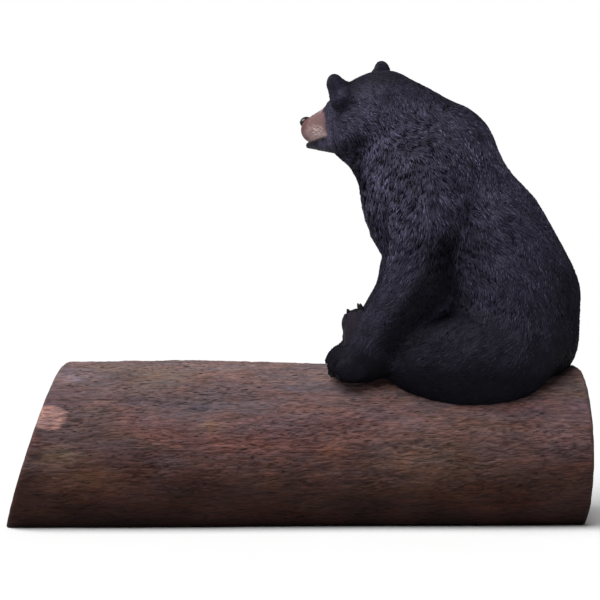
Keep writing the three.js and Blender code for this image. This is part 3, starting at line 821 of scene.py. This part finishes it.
def fur_paint(name, on_strokes):
    material, tree, shader = new_finish(name)
    here = out(add(tree, "ShaderNodeTexCoord"), "Object")
    hairs = between(tree, hair_bump(tree, here, 250.0, 0.026), 0.4, 0.56)
    if on_strokes:
        # painted glint: the few strokes highest in their random tone are painted much lighter
        glint = number(tree, "POWER", attribute(tree, "tone"), 9.0)
        glint = number(tree, "MULTIPLY", glint, attribute(tree, "gleam"))
        strand = number(tree, "ADD", between(tree, attribute(tree, "tone"), 0.0, 1.0, 0.7, 1.2), glint)
        # painted shade along each stroke's edges and a painted highlight on its crest; the locks
        # dry-brushed lighter on their ridges, with painted shade in their grooves
        crest = between(tree, attribute(tree, "height"), -0.4, 0.7, 0.15, 1.35)
        strand = number(tree, "MULTIPLY", strand, crest)
        ridge = between(tree, attribute(tree, "ridge"), 0.2, 0.8, 0.8, 1.12)
        strand = number(tree, "MULTIPLY", strand, ridge)
    else:
        # the locks dry-brushed lighter on their ridges, with painted shade in the grooves between them
        strand = between(tree, attribute(tree, "ridge"), 0.2, 0.9, 0.35, 0.9)
    strand = number(tree, "MULTIPLY", strand, between(tree, hairs, 0.0, 1.0, 0.35, 1.5))
    # shade carries the coat's painted light and shade
    lit = number(tree, "MULTIPLY", attribute(tree, "shade"), strand, clamp=True)
    brushed = blend(tree, lit, colour(FUR_DEEP), colour(FUR_LIGHT))
    speck = between(tree, noise(tree, here, 300.0, 1.0), 0.46, 0.62)
    patch = noise(tree, here, 45.0, 2.0)
    snout = blend(tree, between(tree, patch, 0.3, 0.7), colour(MUZZLE_DULL), colour(MUZZLE_PALE))
    # painted shade along the muzzle's upper side, and darker towards the nose
    snout = blend(tree, attribute(tree, "snout_tip"), snout, colour(MUZZLE_TIP))
    dots = number(tree, "MULTIPLY", speck, attribute(tree, "stipple"))
    snout = blend(tree, dots, snout, colour(MUZZLE_DOTS))
    painted = blend(tree, attribute(tree, "tan"), brushed, snout)
    lip = number(tree, "MULTIPLY", attribute(tree, "lips"), 0.85)
    painted = blend(tree, lip, painted, colour(LIP_DARK))
    leather = blend(tree, noise(tree, here, 120.0, 3.0), colour(SOLE_DEEP), colour(SOLE_LIGHT))
    painted = blend(tree, attribute(tree, "leather"), painted, leather)
    bump = add(tree, "ShaderNodeBump", {"Height": hairs, "Strength": 0.6, "Distance": 0.0016})
    feed(tree, shader, {
        "Base Color": painted, "Roughness": between(tree, hairs, 0.0, 1.0, 0.42, 0.6),
        "Specular IOR Level": 0.05, "Normal": out(bump),
    })
    return material


body_paint = fur_paint("bear fur paint", False)
stroke_paint = fur_paint("bear stroke paint", True)
body_mesh.materials.append(body_paint)
place("bear_body", body_mesh, "bear")

# %% [markdown]
# The moulded strokes: thousands of slim tapered ridges that lie along the lie and overlap like combed
# hair. One stroke is a closed sliver of six triangles. Geometry Nodes scatters it over the body, turns it
# to the lie, realizes the copies and presses every corner back onto the surface, so that no stroke
# floats.

# %% One stroke
STROKE_WIDEST = 0.36
stroke_points = [
    (0, 0, -0.4),
    (STROKE_WIDEST, -0.5, -0.8), (STROKE_WIDEST, 0, 1), (STROKE_WIDEST, 0.5, -0.8),
    (1, 0, -0.3),
]
stroke_faces = [(0, 2, 1), (0, 3, 2), (0, 1, 3), (4, 1, 2), (4, 2, 3), (4, 3, 1)]
stroke_mesh = new_mesh("stroke", stroke_points, [], stroke_faces)
store(stroke_mesh, "height", [p[2] for p in stroke_points])
store(stroke_mesh, "along", [p[0] for p in stroke_points])
stroke = bpy.data.objects.new("stroke", stroke_mesh)
print("one stroke:", len(stroke_mesh.polygons), "faces")

# %% [markdown]
# The scattering tree has named inputs for everything that differs between the back, the head and the
# limbs, and later for the bark: spacing, width, height of the ridge, region, seed and finish.

# %% The scattering tree
LENGTH_SPREAD, WIDTH_SPREAD = (0.65, 1.3), (0.6, 1.25)


def scatter_tree():
    tree = bpy.data.node_groups.new("strokes along the lie", "GeometryNodeTree")
    face = tree.interface
    face.new_socket("Geometry", in_out="INPUT", socket_type="NodeSocketGeometry")
    for name, kind in (
        ("Stroke", "NodeSocketObject"), ("Spacing", "NodeSocketFloat"), ("Width", "NodeSocketFloat"),
        ("Lift", "NodeSocketFloat"), ("Region", "NodeSocketFloat"), ("Seed", "NodeSocketInt"),
        ("Finish", "NodeSocketMaterial"),
    ):
        face.new_socket(name, in_out="INPUT", socket_type=kind)
    face.new_socket("Geometry", in_out="OUTPUT", socket_type="NodeSocketGeometry")
    given = tree.nodes.new("NodeGroupInput")

    def named(name, kind="FLOAT"):
        return out(add(tree, "GeometryNodeInputNamedAttribute", {"Name": name}, data_type=kind))

    def math_node(operation, a, b=0.0):
        return number(tree, operation, a, b)

    def chance(low, high, offset):
        seed = math_node("ADD", given.outputs["Seed"], float(offset))
        limits = {"Min": low, "Max": high, "Seed": seed}
        return out(add(tree, "FunctionNodeRandomValue", limits, data_type="FLOAT"))

    skin = given.outputs["Geometry"]
    apart = math_node("ABSOLUTE", math_node("SUBTRACT", named("region"), given.outputs["Region"]))
    chosen = math_node("LESS_THAN", apart, 0.5)
    square = math_node("MULTIPLY", given.outputs["Spacing"], given.outputs["Spacing"])
    scatter = add(tree, "GeometryNodeDistributePointsOnFaces", {
        "Mesh": skin, "Selection": chosen, "Distance Min": given.outputs["Spacing"],
        "Density Max": math_node("DIVIDE", 2.0, square), "Density Factor": named("stroke_cover"),
        "Seed": given.outputs["Seed"],
    }, distribute_method="POISSON")
    turned = add(tree, "FunctionNodeAxesToRotation", {
        "Primary Axis": out(scatter, "Normal"), "Secondary Axis": named("lie", "FLOAT_VECTOR"),
    }, primary_axis="Z", secondary_axis="X")
    size = add(tree, "ShaderNodeCombineXYZ", {
        "X": math_node("MULTIPLY", named("stroke_length"), chance(*LENGTH_SPREAD, 1)),
        "Y": math_node("MULTIPLY", given.outputs["Width"], chance(*WIDTH_SPREAD, 2)),
        "Z": given.outputs["Lift"],
    })
    shape = add(tree, "GeometryNodeObjectInfo", {"Object": given.outputs["Stroke"]})
    laid = add(tree, "GeometryNodeInstanceOnPoints", {
        "Points": out(scatter, "Points"), "Instance": out(shape, "Geometry"),
        "Rotation": out(turned), "Scale": out(size),
    })
    toned = add(tree, "GeometryNodeStoreNamedAttribute", {
        "Geometry": out(laid), "Name": "tone", "Value": chance(0.0, 1.0, 3),
    }, data_type="FLOAT", domain="INSTANCE")
    made_real = out(add(tree, "GeometryNodeRealizeInstances", {"Geometry": out(toned)}))
    spot = out(add(tree, "GeometryNodeInputPosition"))
    nearest = add(tree, "GeometryNodeProximity", {0: skin}, target_element="FACES")
    upright = add(tree, "GeometryNodeSampleNearestSurface", {
        "Mesh": skin, "Value": out(add(tree, "GeometryNodeInputNormal")), "Sample Position": spot,
    }, data_type="FLOAT_VECTOR")
    along = named("along")
    rise = math_node("MULTIPLY", named("tuft"), math_node("MULTIPLY", along, along))
    stand = math_node("ADD", math_node("MULTIPLY", named("height"), given.outputs["Lift"]), rise)
    offset = out(add(tree, "ShaderNodeVectorMath", {
        0: out(upright, "Value"), "Scale": stand,
    }, operation="SCALE"))
    pressed = add(tree, "GeometryNodeSetPosition", {
        "Geometry": made_real, "Position": out(nearest, "Position"), "Offset": offset,
    })
    finished = add(tree, "GeometryNodeSetMaterial", {
        "Geometry": out(pressed), "Material": given.outputs["Finish"],
    })
    add(tree, "NodeGroupOutput", {"Geometry": out(finished)})
    return tree


STROKES = scatter_tree()


def scatter(name, skin_mesh, slot, **sizes):
    """Runs the tree over a skin and keeps the strokes as a plain piece."""
    host = bpy.data.objects.new(name + "_host", skin_mesh)
    bpy.context.scene.collection.objects.link(host)
    modifier = host.modifiers.new("strokes", "NODES")
    modifier.node_group = STROKES
    for item in STROKES.interface.items_tree:
        if item.in_out == "INPUT" and item.name in sizes:
            modifier[item.identifier] = sizes[item.name]
    graph = bpy.context.evaluated_depsgraph_get()
    made = bpy.data.meshes.new_from_object(host.evaluated_get(graph), depsgraph=graph)
    made.name = name
    host.modifiers.remove(modifier)
    bpy.data.objects.remove(host)
    made.shade_smooth()
    place(name, made)


print("tree with", len(STROKES.nodes), "nodes")

# %% [markdown]
# Three runs of the tree make the coat: short and close on the head and neck, long and combed on the back
# and flanks, and shorter again on the limbs.

# %% The coat
COAT = (
    # piece, region, then spacing, width and lift in metres, seed
    ("fur_head", ON_HEAD, 0.0044, 0.0050, 0.0013, 11),
    ("fur_back", ON_BACK, 0.0060, 0.0064, 0.0018, 12),
    ("fur_limbs", ON_LIMBS, 0.0054, 0.0056, 0.0014, 13),
)
for coat_name, coat_region, spacing, width, lift, seed in COAT:
    scatter(
        coat_name, body_mesh, "bear_fur", Stroke=stroke, Spacing=spacing, Width=width, Lift=lift,
        Region=coat_region, Seed=seed, Finish=stroke_paint,
    )

# %% [markdown]
# The nose is a separate little cast piece in looks: bare, pebbled and glossy. It starts as a ball of
# rings whose front is flattened, with two nostrils pressed in and a groove down the middle. The eyes are
# glass-like balls that sit deep in their sockets.

# %% Nose and eyes


def ball(rings=40, around_count=64):
    """Unit ball as points and quads, with its poles along the first axis."""
    polar = np.linspace(0, math.pi, rings + 1)[1:-1]
    turn = np.linspace(0, 2 * math.pi, around_count, endpoint=False)
    a, b = np.meshgrid(polar, turn, indexing="ij")
    points = np.stack([np.cos(a), np.sin(a) * np.cos(b), np.sin(a) * np.sin(b)], axis=-1).reshape(-1, 3)
    points = np.vstack([points, [[1, 0, 0], [-1, 0, 0]]])
    quads, fans = [], []
    rows = len(polar)
    for i in range(around_count):
        j = (i + 1) % around_count
        for r in range(rows - 1):
            upper, lower = r * around_count, (r + 1) * around_count
            quads.append((upper + i, lower + i, lower + j, upper + j))
        fans.append((rows * around_count, i, j))
        fans.append((rows * around_count + 1, (rows - 1) * around_count + j, (rows - 1) * around_count + i))
    return points, quads, fans


NOSE_AT = (241.0, 0.0, -4.0)
NOSE_DEEP, NOSE_WIDE, NOSE_HIGH = 15, 21, 17


def nose_piece():
    points, quads, fans = ball()
    f, s, u = points.T
    shape = np.stack([
        NOSE_DEEP * f - 3 * np.maximum(f, 0) ** 2,
        NOSE_WIDE * s * (1 + 0.15 * u),
        NOSE_HIGH * u * (1 - 0.12 * s * s),
    ], axis=1)
    nostril = sum(np.exp(-(((s - side * 0.52) / 0.2) ** 2 + ((u + 0.12) / 0.24) ** 2)) for side in (-1, 1))
    groove = np.exp(-((s / 0.07) ** 2)) * step(0.3, -0.3, u)
    shape[:, 0] -= np.where(f > -0.2, 7.0 * nostril + 2.0 * groove, 0)
    return metres(from_head(shape + np.array([NOSE_AT]))), quads, fans


def glossy(name, deep, light, scale, rough, bump_depth, coat=0.6):
    material, tree, shader = new_finish(name)
    here = out(add(tree, "ShaderNodeTexCoord"), "Object")
    grainy = noise(tree, here, scale, 2.0)
    bump = add(tree, "ShaderNodeBump", {"Height": grainy, "Strength": 0.6, "Distance": bump_depth})
    feed(tree, shader, {
        "Base Color": blend(tree, grainy, colour(deep), colour(light)),
        "Roughness": between(tree, grainy, 0.3, 0.7, rough, rough + 0.12),
        "Specular IOR Level": 0.5 if coat > 0.5 else 0.1,
        "Coat Weight": coat, "Coat Roughness": 0.12, "Normal": out(bump),
    })
    return material


nose_mesh = new_mesh("bear_nose", *nose_piece())
nose_mesh.materials.append(glossy("nose gloss", "08070a", "141217", 700.0, 0.26, 0.0005, coat=0.45))
place("bear_nose", nose_mesh)

eye_points, eye_quads, eye_fans = ball(24, 32)
both_eyes = []
EYE_RADIUS = 9.5
EYE_SUNK = (3.5, 3.0, 4.5)
for side in (-1, 1):
    sunk = np.subtract(EYE_AT, EYE_SUNK) * (1, side, 1)
    both_eyes.append(metres(from_head(eye_points * EYE_RADIUS + sunk)))
eye_count = len(eye_points)
eye_mesh = new_mesh(
    "bear_eyes", np.vstack(both_eyes),
    list(eye_quads) + [tuple(i + eye_count for i in f) for f in eye_quads],
    list(eye_fans) + [tuple(i + eye_count for i in f) for f in eye_fans],
)
eye_mesh.materials.append(glossy("eye gloss", "120a07", "2a1710", 260.0, 0.1, 0.0001))
place("bear_eyes", eye_mesh)

# %% [markdown]
# Claws are short blunt horns, one on each toe. Each is swept along a slight bend that starts in the toe's
# direction, in rings that close to a rounded tip.

# %% Claws
CLAW_RADIUS, CLAW_BEND = 7.5, 1.5
CLAW_RINGS, CLAW_AROUND = 9, 10


def claw(start, way, length, bend_to):
    way = np.array(way, float) / np.linalg.norm(way)
    bend_to = np.array(bend_to, float)
    across = np.cross(way, bend_to)
    across /= np.linalg.norm(across)
    down = np.cross(across, way)
    points = []
    for r in range(CLAW_RINGS):
        t = r / CLAW_RINGS
        centre = start + way * length * t + down * CLAW_BEND * t * t
        radius = CLAW_RADIUS * (1 - t) ** 0.5
        for k in range(CLAW_AROUND):
            angle = 2 * math.pi * k / CLAW_AROUND
            points.append(centre + radius * (0.75 * math.cos(angle) * across + math.sin(angle) * down))
    points.append(start + way * length + down * CLAW_BEND)
    points.append(start)
    return points


claw_points, claw_quads, claw_fans = [], [], []
for toe in TOES:
    for side in (-1, 1):
        mirror = np.array([1, side, 1])
        bend_to = (-1, 0, -0.4) if toe["claw"][2] > 0 else (0.2, 0, -1)
        first = len(claw_points)
        claw_points += claw(toe["claw_at"] * mirror, toe["claw"] * mirror, toe["claw_length"], bend_to)
        last = first + CLAW_RINGS * CLAW_AROUND
        for k in range(CLAW_AROUND):
            j = (k + 1) % CLAW_AROUND
            for r in range(CLAW_RINGS - 1):
                a = first + r * CLAW_AROUND
                claw_quads.append((a + k, a + j, a + CLAW_AROUND + j, a + CLAW_AROUND + k))
            a = first + (CLAW_RINGS - 1) * CLAW_AROUND
            claw_fans.append((a + k, a + j, last))
            claw_fans.append((first + j, first + k, last + 1))
claw_mesh = new_mesh("bear_claws", metres(np.array(claw_points)), claw_quads, claw_fans)
claw_mesh.materials.append(glossy("claw horn", "070609", "131016", 240.0, 0.5, 0.0004, coat=0.0))
place("bear_claws", claw_mesh)

# %% [markdown]
# The log: rings of points along the trunk, leaning with the slanted cut at one end and upright at the
# square end. Broad furrows and fine ripples of bark run along it. The ends are closed with ever smaller
# rings, a little uneven as a saw leaves them.

# %% The log's mesh
LOG_STATIONS, LOG_AROUND, LOG_EDGE = 150, 560, 15.0
END_RINGS = (0.9, 0.7, 0.45, 0.2)
LOG_LENGTH = LOG_END - CUT_FOOT
PAD_X, FOOT_X, PAD_RISE = 468.0, -690.0, 7.0
FURROW, WRINKLE, CREASE = (88.0, 520.0), (17.0, 100.0), (9.5, 70.0)  # spacing and length
FURROW_RISE, WRINKLE_RISE, CREASE_RISE = 2.6, 1.9, 0.9


def ring_x(t, z):
    h = z / (trunk_axis(0) + trunk_radius(0.0))
    cut = CUT_FOOT + (CUT_CROWN - CUT_FOOT) * h + 4 * CUT_HOLLOW * h * (1 - h)
    return cut + (LOG_END - cut) * t


def underside(x):
    rise = PAD_RISE * np.clip((x - FOOT_X) / (PAD_X - FOOT_X), 0, 1)
    return np.where(x < PAD_X, rise, 0.0)


bend = LOG_EDGE / LOG_LENGTH
stations = np.concatenate([np.linspace(bend, 1 - bend, LOG_STATIONS), [
    (PAD_X - 0.5 - CUT_FOOT) / LOG_LENGTH, (PAD_X + 0.5 - CUT_FOOT) / LOG_LENGTH,
]])
EDGE_TURNS = np.radians([90, 70, 50, 30, 12])
edge_steps = [(bend * (1 - math.sin(a)), LOG_EDGE * (1 - math.cos(a))) for a in EDGE_TURNS]
profile = edge_steps + [(t, 0.0) for t in sorted(stations)]
profile = profile + [(1 - t, inset) for t, inset in reversed(edge_steps)]
ring_t, ring_inset = (column[:, None] for column in np.array(profile).T)
ring_axis = trunk_axis(ring_t)
ring_radius = trunk_radius(ring_t) - ring_inset
reach = np.arccos((0.4 * ring_inset - ring_axis) / ring_radius)
angle = np.linspace(-1, 1, LOG_AROUND + 1) * reach


def on_trunk(turn):
    along = np.broadcast_to(LOG_LENGTH * ring_t, turn.shape)
    return np.array([along, ring_radius * np.sin(turn), ring_radius * np.cos(turn)]).reshape(3, -1)


plain = on_trunk(angle)
wander = (6 * slow(plain, 120.0) + 4 * slow(plain, 50.0)).reshape(angle.shape)
wandering = on_trunk(angle + wander / ring_radius)
along_trunk = np.zeros_like(plain)
along_trunk[0] = 1
wrinkles = grain(wandering, along_trunk, *WRINKLE)
creases = grain(wandering, along_trunk, *CREASE)
heights = (ring_axis + ring_radius * np.cos(angle)).ravel()
wrinkled = 0.7 + 0.35 * np.exp(-(((heights - 215) / 95) ** 2)) + 0.2 * slow(plain, 150.0)
wrinkled = np.clip(wrinkled, 0.15, 1.1) * np.broadcast_to(1 - ring_inset / LOG_EDGE, angle.shape).ravel()
bark = FURROW_RISE * locks(grain(plain, along_trunk, *FURROW))
bark = bark + wrinkled * (WRINKLE_RISE * locks(wrinkles) + CREASE_RISE * locks(creases))
bark = bark * step(0, 60, (reach - np.abs(angle)) * ring_radius).ravel()
# the crease mask: dark lines of painted shade along the bark's wrinkles and creases
wrinkle_line = 0.9 * np.exp(-((wrinkles / 0.28) ** 2))
crease_line = 0.6 * np.exp(-((creases / 0.3) ** 2))
crease = wrinkled * np.maximum(wrinkle_line, crease_line)
r = ring_radius + bark.reshape(angle.shape)
z = ring_axis + r * np.cos(angle)
x = ring_x(ring_t, z)
z = np.maximum(z, underside(x))
log_points = np.stack([x, r * np.sin(angle), z], axis=-1).reshape(-1, 3)
rows = len(profile)
ring_size = LOG_AROUND + 1
index = np.arange(rows * ring_size).reshape(rows, ring_size)
following = np.roll(index, -1, axis=1)
log_quads = np.stack([index[:-1], index[1:], following[1:], following[:-1]], axis=-1).reshape(-1, 4)
log_fans = []
end_grain = np.zeros(len(log_points))
for edge, turned in ((index[0], False), (index[-1], True)):
    rim = log_points[edge]
    centre = rim.mean(axis=0)
    previous = edge
    for share in END_RINGS:
        wobble = 0.8 * np.sin(rim[:, 1] * 0.16 + 2.0 * share) * share
        ring = centre + (rim - centre) * share
        ring[:, 0] += wobble
        numbers = np.arange(len(ring)) + len(log_points)
        log_points = np.vstack([log_points, ring])
        end_grain = np.concatenate([end_grain, np.ones(len(ring))])
        strip = np.stack([previous, np.roll(previous, -1), np.roll(numbers, -1), numbers], axis=-1)
        log_quads = np.vstack([log_quads, strip[:, ::-1] if turned else strip])
        previous = numbers
    hub = len(log_points)
    log_points = np.vstack([log_points, centre])
    end_grain = np.append(end_grain, 1.0)
    for a, b in zip(previous, np.roll(previous, -1)):
        log_fans.append((hub, b, a) if turned else (hub, a, b))
log_mesh = new_mesh("log_trunk", metres(log_points), log_quads, log_fans)
print("log:", len(log_points), "points")

# %% [markdown]
# The log's attributes serve the same scattering tree as the fur: here the lie runs along the trunk, and
# the strokes become the fine ripples of bark. None are laid on the sawn ends, the underside or under the
# bear.

# %% The log's attributes
along_log = np.zeros((len(log_points), 3))
along_log[:, 0] = 1.0
under_bear = bear_distance(np.array([log_points[:, 0], log_points[:, 1], log_points[:, 2] + 6.0])) < 0
slant_gap = log_points[:, 0] - ring_x(0.0, log_points[:, 2])
END_MARGIN, CUT_MARGIN, BARE_BELOW = 22, 24, 10
near_ends = (log_points[:, 0] >= LOG_END - END_MARGIN) | (slant_gap < CUT_MARGIN)
bare = under_bear | (end_grain > 0.5) | (log_points[:, 2] < BARE_BELOW) | near_ends
cover = np.where(bare, 0.0, 1.0)
RIPPLE_LENGTH, ON_LOG = 0.030, 0.0
for mask_name, values in {
    "lie": along_log,
    "stroke_length": np.full(len(log_points), RIPPLE_LENGTH),
    "stroke_cover": cover,
    "tuft": np.zeros(len(log_points)),
    "region": np.full(len(log_points), ON_LOG),
    "end_grain": end_grain,
}.items():
    store(log_mesh, mask_name, values)
print("bark covers", round(100 * float(cover.mean())), "% of the points")

# %% [markdown]
# Bark paint is worked out for each point, from the top down: dusty grey-brown on the crown, warm brown at
# the sides, nearly black-brown below, a darkening towards the bottom that is partly painted shade. Over
# it lie the painter's washes: reddish, olive and bluish clouds, and a few that the photograph shows in
# their places, such as the worn pale patch by the slanted end. Among the placed ones is no wash but a
# painted shadow of the bear on the log beside its rump. An image could hold this too, but a list of
# washes stays small and sharp at any size.

# %% Washes, painted shade and painted shadow on the bark
# darker towards the bottom, partly painted shade
BARK_HEIGHTS = (0, 60, 140, 220, 300, 370, 435)
BARK_SHADES = ("1e0f0e", "2d1914", "3f2b27", "513d3c", "5e4847", "5d4c4b", "6a5a58")
WASHES_AND_SHADOW = (
    # along and up in millimetres, half width and half height, colour, strength
    (-619, 287, 70, 60, "413a42", 0.6),
    (-689, 196, 45, 34, "37303a", 0.4),
    # painted shadow of the bear on the log beside its rump
    (700, 400, 75, 50, "3d302f", 0.7),
    (-602, 394, 30, 12, "85757c", 0.6),
    (-621, 196, 55, 26, "63523a", 0.5),
    (-263, 326, 75, 34, "4b474c", 0.6),
    (-120, 316, 40, 22, "4b474c", 0.35),
    (-127, 121, 42, 28, "2c2224", 0.45),
    (-31, 121, 36, 26, "2a2021", 0.45),
    (26, 186, 46, 32, "3a2e30", 0.5),
    (-229, 274, 26, 14, "85684f", 0.35),
    (78, 209, 40, 34, "734c38", 0.4),
    (-91, 136, 44, 28, "63402f", 0.35),
    (-120, 226, 190, 30, "74493f", 0.4),
    (-560, 140, 90, 30, "68472f", 0.4),
    (330, 200, 160, 60, "5e4a35", 0.35),
)
OLIVE_GLAZE, RED_GLAZE, BLUE_GLAZE = (0.97, 0.99, 0.86), (1.06, 0.94, 0.9), (0.84, 0.87, 0.93)
log_p = log_points.T
cloud_height = log_p[2] + 16 * slow(log_p, 170.0)
near_side = step(30, -30, log_p[1])
bark_shades = np.array([colour(c)[:3] for c in BARK_SHADES]).T
bark_tint = np.stack([np.interp(cloud_height, BARK_HEIGHTS, shades) for shades in bark_shades])


def washed(tint, share, shade_code):
    """The tint with a share of one more colour over it."""
    return tint + np.clip(share, 0, 1) * (np.array(colour(shade_code)[:3])[:, None] - tint)


flat_cloud = log_p * np.array([[0.3], [1.0], [1.0]])
for offset, size, glaze in ((0, 130, OLIVE_GLAZE), (700, 120, RED_GLAZE), (1900, 100, BLUE_GLAZE)):
    share = step(0.2, 1.8, slow(flat_cloud + offset, size))
    bark_tint = bark_tint * (1 + share * (np.array(glaze)[:, None] - 1))
ragged = np.clip(1 + 0.35 * slow(log_p, 34.0), 0.5, 1.8)
for at_x, at_z, wide, high, shade_code, strength in WASHES_AND_SHADOW:
    gap = ((log_p[0] - at_x) / wide) ** 2 + ((log_p[2] - at_z) / high) ** 2
    bark_tint = washed(bark_tint, strength * np.exp(-gap * ragged) * near_side, shade_code)
WORN_AT, WORN_SIZE, WORN_COLOUR = (-652, 293), (40, 31), "8f6f68"
worn = ((log_p[0] - WORN_AT[0]) / WORN_SIZE[0]) ** 2 + ((log_p[2] - WORN_AT[1]) / WORN_SIZE[1]) ** 2
worn = worn * (1 + 0.15 * slow(log_p, 80.0))
bark_tint = washed(bark_tint, 0.95 * step(1.2, 0.8, worn) * near_side, WORN_COLOUR)
# the bark's colour, with its painted shade low down and the bear's painted shadow
store(log_mesh, "wash_and_shade", bark_tint.T)
# the crease mask carries the painted shade in the bark's creases
store(log_mesh, "crease", np.concatenate([crease, np.zeros(len(log_points) - len(crease))]))
print(len(WASHES_AND_SHADOW), "placed washes")

# %% [markdown]
# The finish takes the washes, with their painted shade and shadow, from the mesh, draws fine grain along
# the trunk, and darkens the creases with painted shade.
# The sawn ends show painted growth rings.

# %% Bark paint
STREAK_DARK, FINE_LIGHT, FINE_DARK = (0.62, 0.58, 0.57, 1), (1.65, 1.6, 1.55, 1), (0.55, 0.53, 0.54, 1)
MOTTLE_COOL, MOTTLE_WARM = (0.88, 0.96, 1.08, 1), (1.1, 1.0, 0.95, 1)
# CREASE_DARK is the painted shade in the creases
RIPPLE_LIGHT, CREASE_DARK = (1.15, 1.14, 1.13, 1), (0.45, 0.41, 0.41, 1)
SAWN_DEEP, SAWN_LIGHT, SAWN_STREAK = "705845", "836a55", "4f3b2e"
PITH_HEIGHT, RING_WAVES = 0.187, 480.0


def bark_paint(name, on_strokes):
    material, tree, shader = new_finish(name)
    here = out(add(tree, "ShaderNodeTexCoord"), "Object")

    def drawn_out(share, scale, detail):
        """Noise stretched along the trunk, the more the smaller the share."""
        stretched = out(add(tree, "ShaderNodeMapping", {"Vector": here, "Scale": (share, 1.0, 1.0)}))
        return noise(tree, stretched, scale, detail, 0.6)

    streak = drawn_out(0.12, 90.0, 4.0)
    fine = drawn_out(0.13, 280.0, 3.0)
    mottle = drawn_out(0.3, 42.0, 3.0)
    # the washes, with the painted shade low down and the bear's painted shadow
    tint = attribute(tree, "wash_and_shade", "Color")
    tint = blend(tree, between(tree, streak, 0.4, 0.75), tint, STREAK_DARK, "MULTIPLY")
    tint = blend(tree, between(tree, fine, 0.45, 0.75), tint, FINE_LIGHT, "MULTIPLY")
    tint = blend(tree, between(tree, fine, 0.48, 0.3), tint, FINE_DARK, "MULTIPLY")
    mottled = blend(tree, between(tree, mottle, 0.36, 0.64), MOTTLE_COOL, MOTTLE_WARM)
    tint = blend(tree, 1.0, tint, mottled, "MULTIPLY")
    if on_strokes:
        tint = blend(tree, attribute(tree, "tone"), tint, RIPPLE_LIGHT, "MULTIPLY")
    else:
        # painted shade in the creases
        tint = blend(tree, attribute(tree, "crease"), tint, CREASE_DARK, "MULTIPLY")
    rings_at = out(add(tree, "ShaderNodeMapping", {
        "Vector": here, "Location": (0.0, 0.0, -PITH_HEIGHT), "Scale": (0.0, 1.0, 1.0),
    }))
    from_pith = out(add(tree, "ShaderNodeVectorMath", {0: rings_at}, operation="LENGTH"), "Value")
    uneven = number(tree, "ADD", from_pith, number(tree, "MULTIPLY", noise(tree, here, 5.0, 3.0), 0.05))
    ring_wave = number(tree, "SINE", number(tree, "MULTIPLY", uneven, RING_WAVES))
    sawn = blend(tree, between(tree, ring_wave, -1.0, 1.0), colour(SAWN_DEEP), colour(SAWN_LIGHT))
    sawn = blend(tree, between(tree, streak, 0.4, 0.75, 0.0, 0.5), sawn, colour(SAWN_STREAK))
    tint = blend(tree, attribute(tree, "end_grain"), tint, sawn)
    both = number(tree, "ADD", number(tree, "MULTIPLY", streak, 0.6), number(tree, "MULTIPLY", fine, 0.4))
    bump = add(tree, "ShaderNodeBump", {"Height": both, "Strength": 0.8, "Distance": 0.006})
    feed(tree, shader, {
        "Base Color": tint, "Roughness": between(tree, fine, 0.3, 0.7, 0.6, 0.78),
        "Specular IOR Level": 0.1, "Normal": out(bump),
    })
    return material


log_mesh.materials.append(bark_paint("bark paint", False))
place("log_trunk", log_mesh, "log")
scatter(
    "bark_ripples", log_mesh, "log_bark", Stroke=stroke, Spacing=0.0108, Width=0.0040, Lift=0.0008,
    Region=ON_LOG, Seed=21, Finish=bark_paint("bark ripple paint", True),
)

# %% [markdown]
# The stage is a wide pale floor in soft light. One large lamp overhead, a little to the front and left,
# gives the highlights on the head, shoulders and crown of the log; the pale surroundings fill the rest.

# %% Floor, light and camera
bpy.ops.mesh.primitive_plane_add(size=40.0, location=(0, 0, 0))
floor = bpy.context.object
floor.name = "floor"
floor_finish, floor_tree, floor_shader = new_finish("pale floor")
floor_here = out(add(floor_tree, "ShaderNodeTexCoord"), "Object")
FLOOR_DULL, FLOOR_PALE = "cdcdcd", "d0d0d0"
floor_tint = blend(floor_tree, noise(floor_tree, floor_here, 2.0), colour(FLOOR_DULL), colour(FLOOR_PALE))
feed(floor_tree, floor_shader, {"Base Color": floor_tint, "Roughness": 0.9})
floor.data.materials.append(floor_finish)

world = bpy.data.worlds.new("studio")
world.use_nodes = True
bpy.context.scene.world = world
sky_tree = world.node_tree
sky = sky_tree.nodes["Background"]
STUDIO_AMBIENT = 0.2
seen = out(add(sky_tree, "ShaderNodeLightPath"), "Is Camera Ray")
feed(sky_tree, sky, {
    "Color": (1.0, 1.0, 1.0, 1.0), "Strength": between(sky_tree, seen, 0.0, 1.0, STUDIO_AMBIENT, 1.0),
})


def broad_light(name, comes_from, strength, softness):
    """A sun as wide as a big softbox, so that the floor is lit evenly to the horizon."""
    lamp = bpy.data.lights.new(name, "SUN")
    lamp.energy = strength
    lamp.angle = math.radians(softness)
    holder = bpy.data.objects.new(name, lamp)
    bpy.context.scene.collection.objects.link(holder)
    way = np.array(comes_from, float)
    holder.rotation_euler = (
        math.atan2(math.hypot(way[0], way[1]), way[2]), 0.0, math.atan2(way[1], way[0]) + math.pi / 2,
    )


broad_light("softbox above", comes_from=(-0.45, -0.40, 1.0), strength=5.4, softness=55.0)

PHOTO_FOCAL, PHOTO_WIDTH, CAMERA_AWAY, CAMERA_HEIGHT = 1390.0, 600.0, 3822.0, 599.0
camera_data = bpy.data.cameras.new("camera")
SENSOR_WIDTH = 36.0
camera_data.sensor_width = SENSOR_WIDTH
camera_data.lens = SENSOR_WIDTH * PHOTO_FOCAL / PHOTO_WIDTH
camera = bpy.data.objects.new("camera", camera_data)
bpy.context.scene.collection.objects.link(camera)
camera.location = metres(np.array([0.0, -CAMERA_AWAY, CAMERA_HEIGHT]))
camera.rotation_euler = (math.pi / 2, 0.0, 0.0)
bpy.context.scene.camera = camera
bpy.context.scene.view_settings.view_transform = "Standard"
print("camera at", [round(c, 3) for c in camera.location], "lens", round(camera_data.lens, 1))
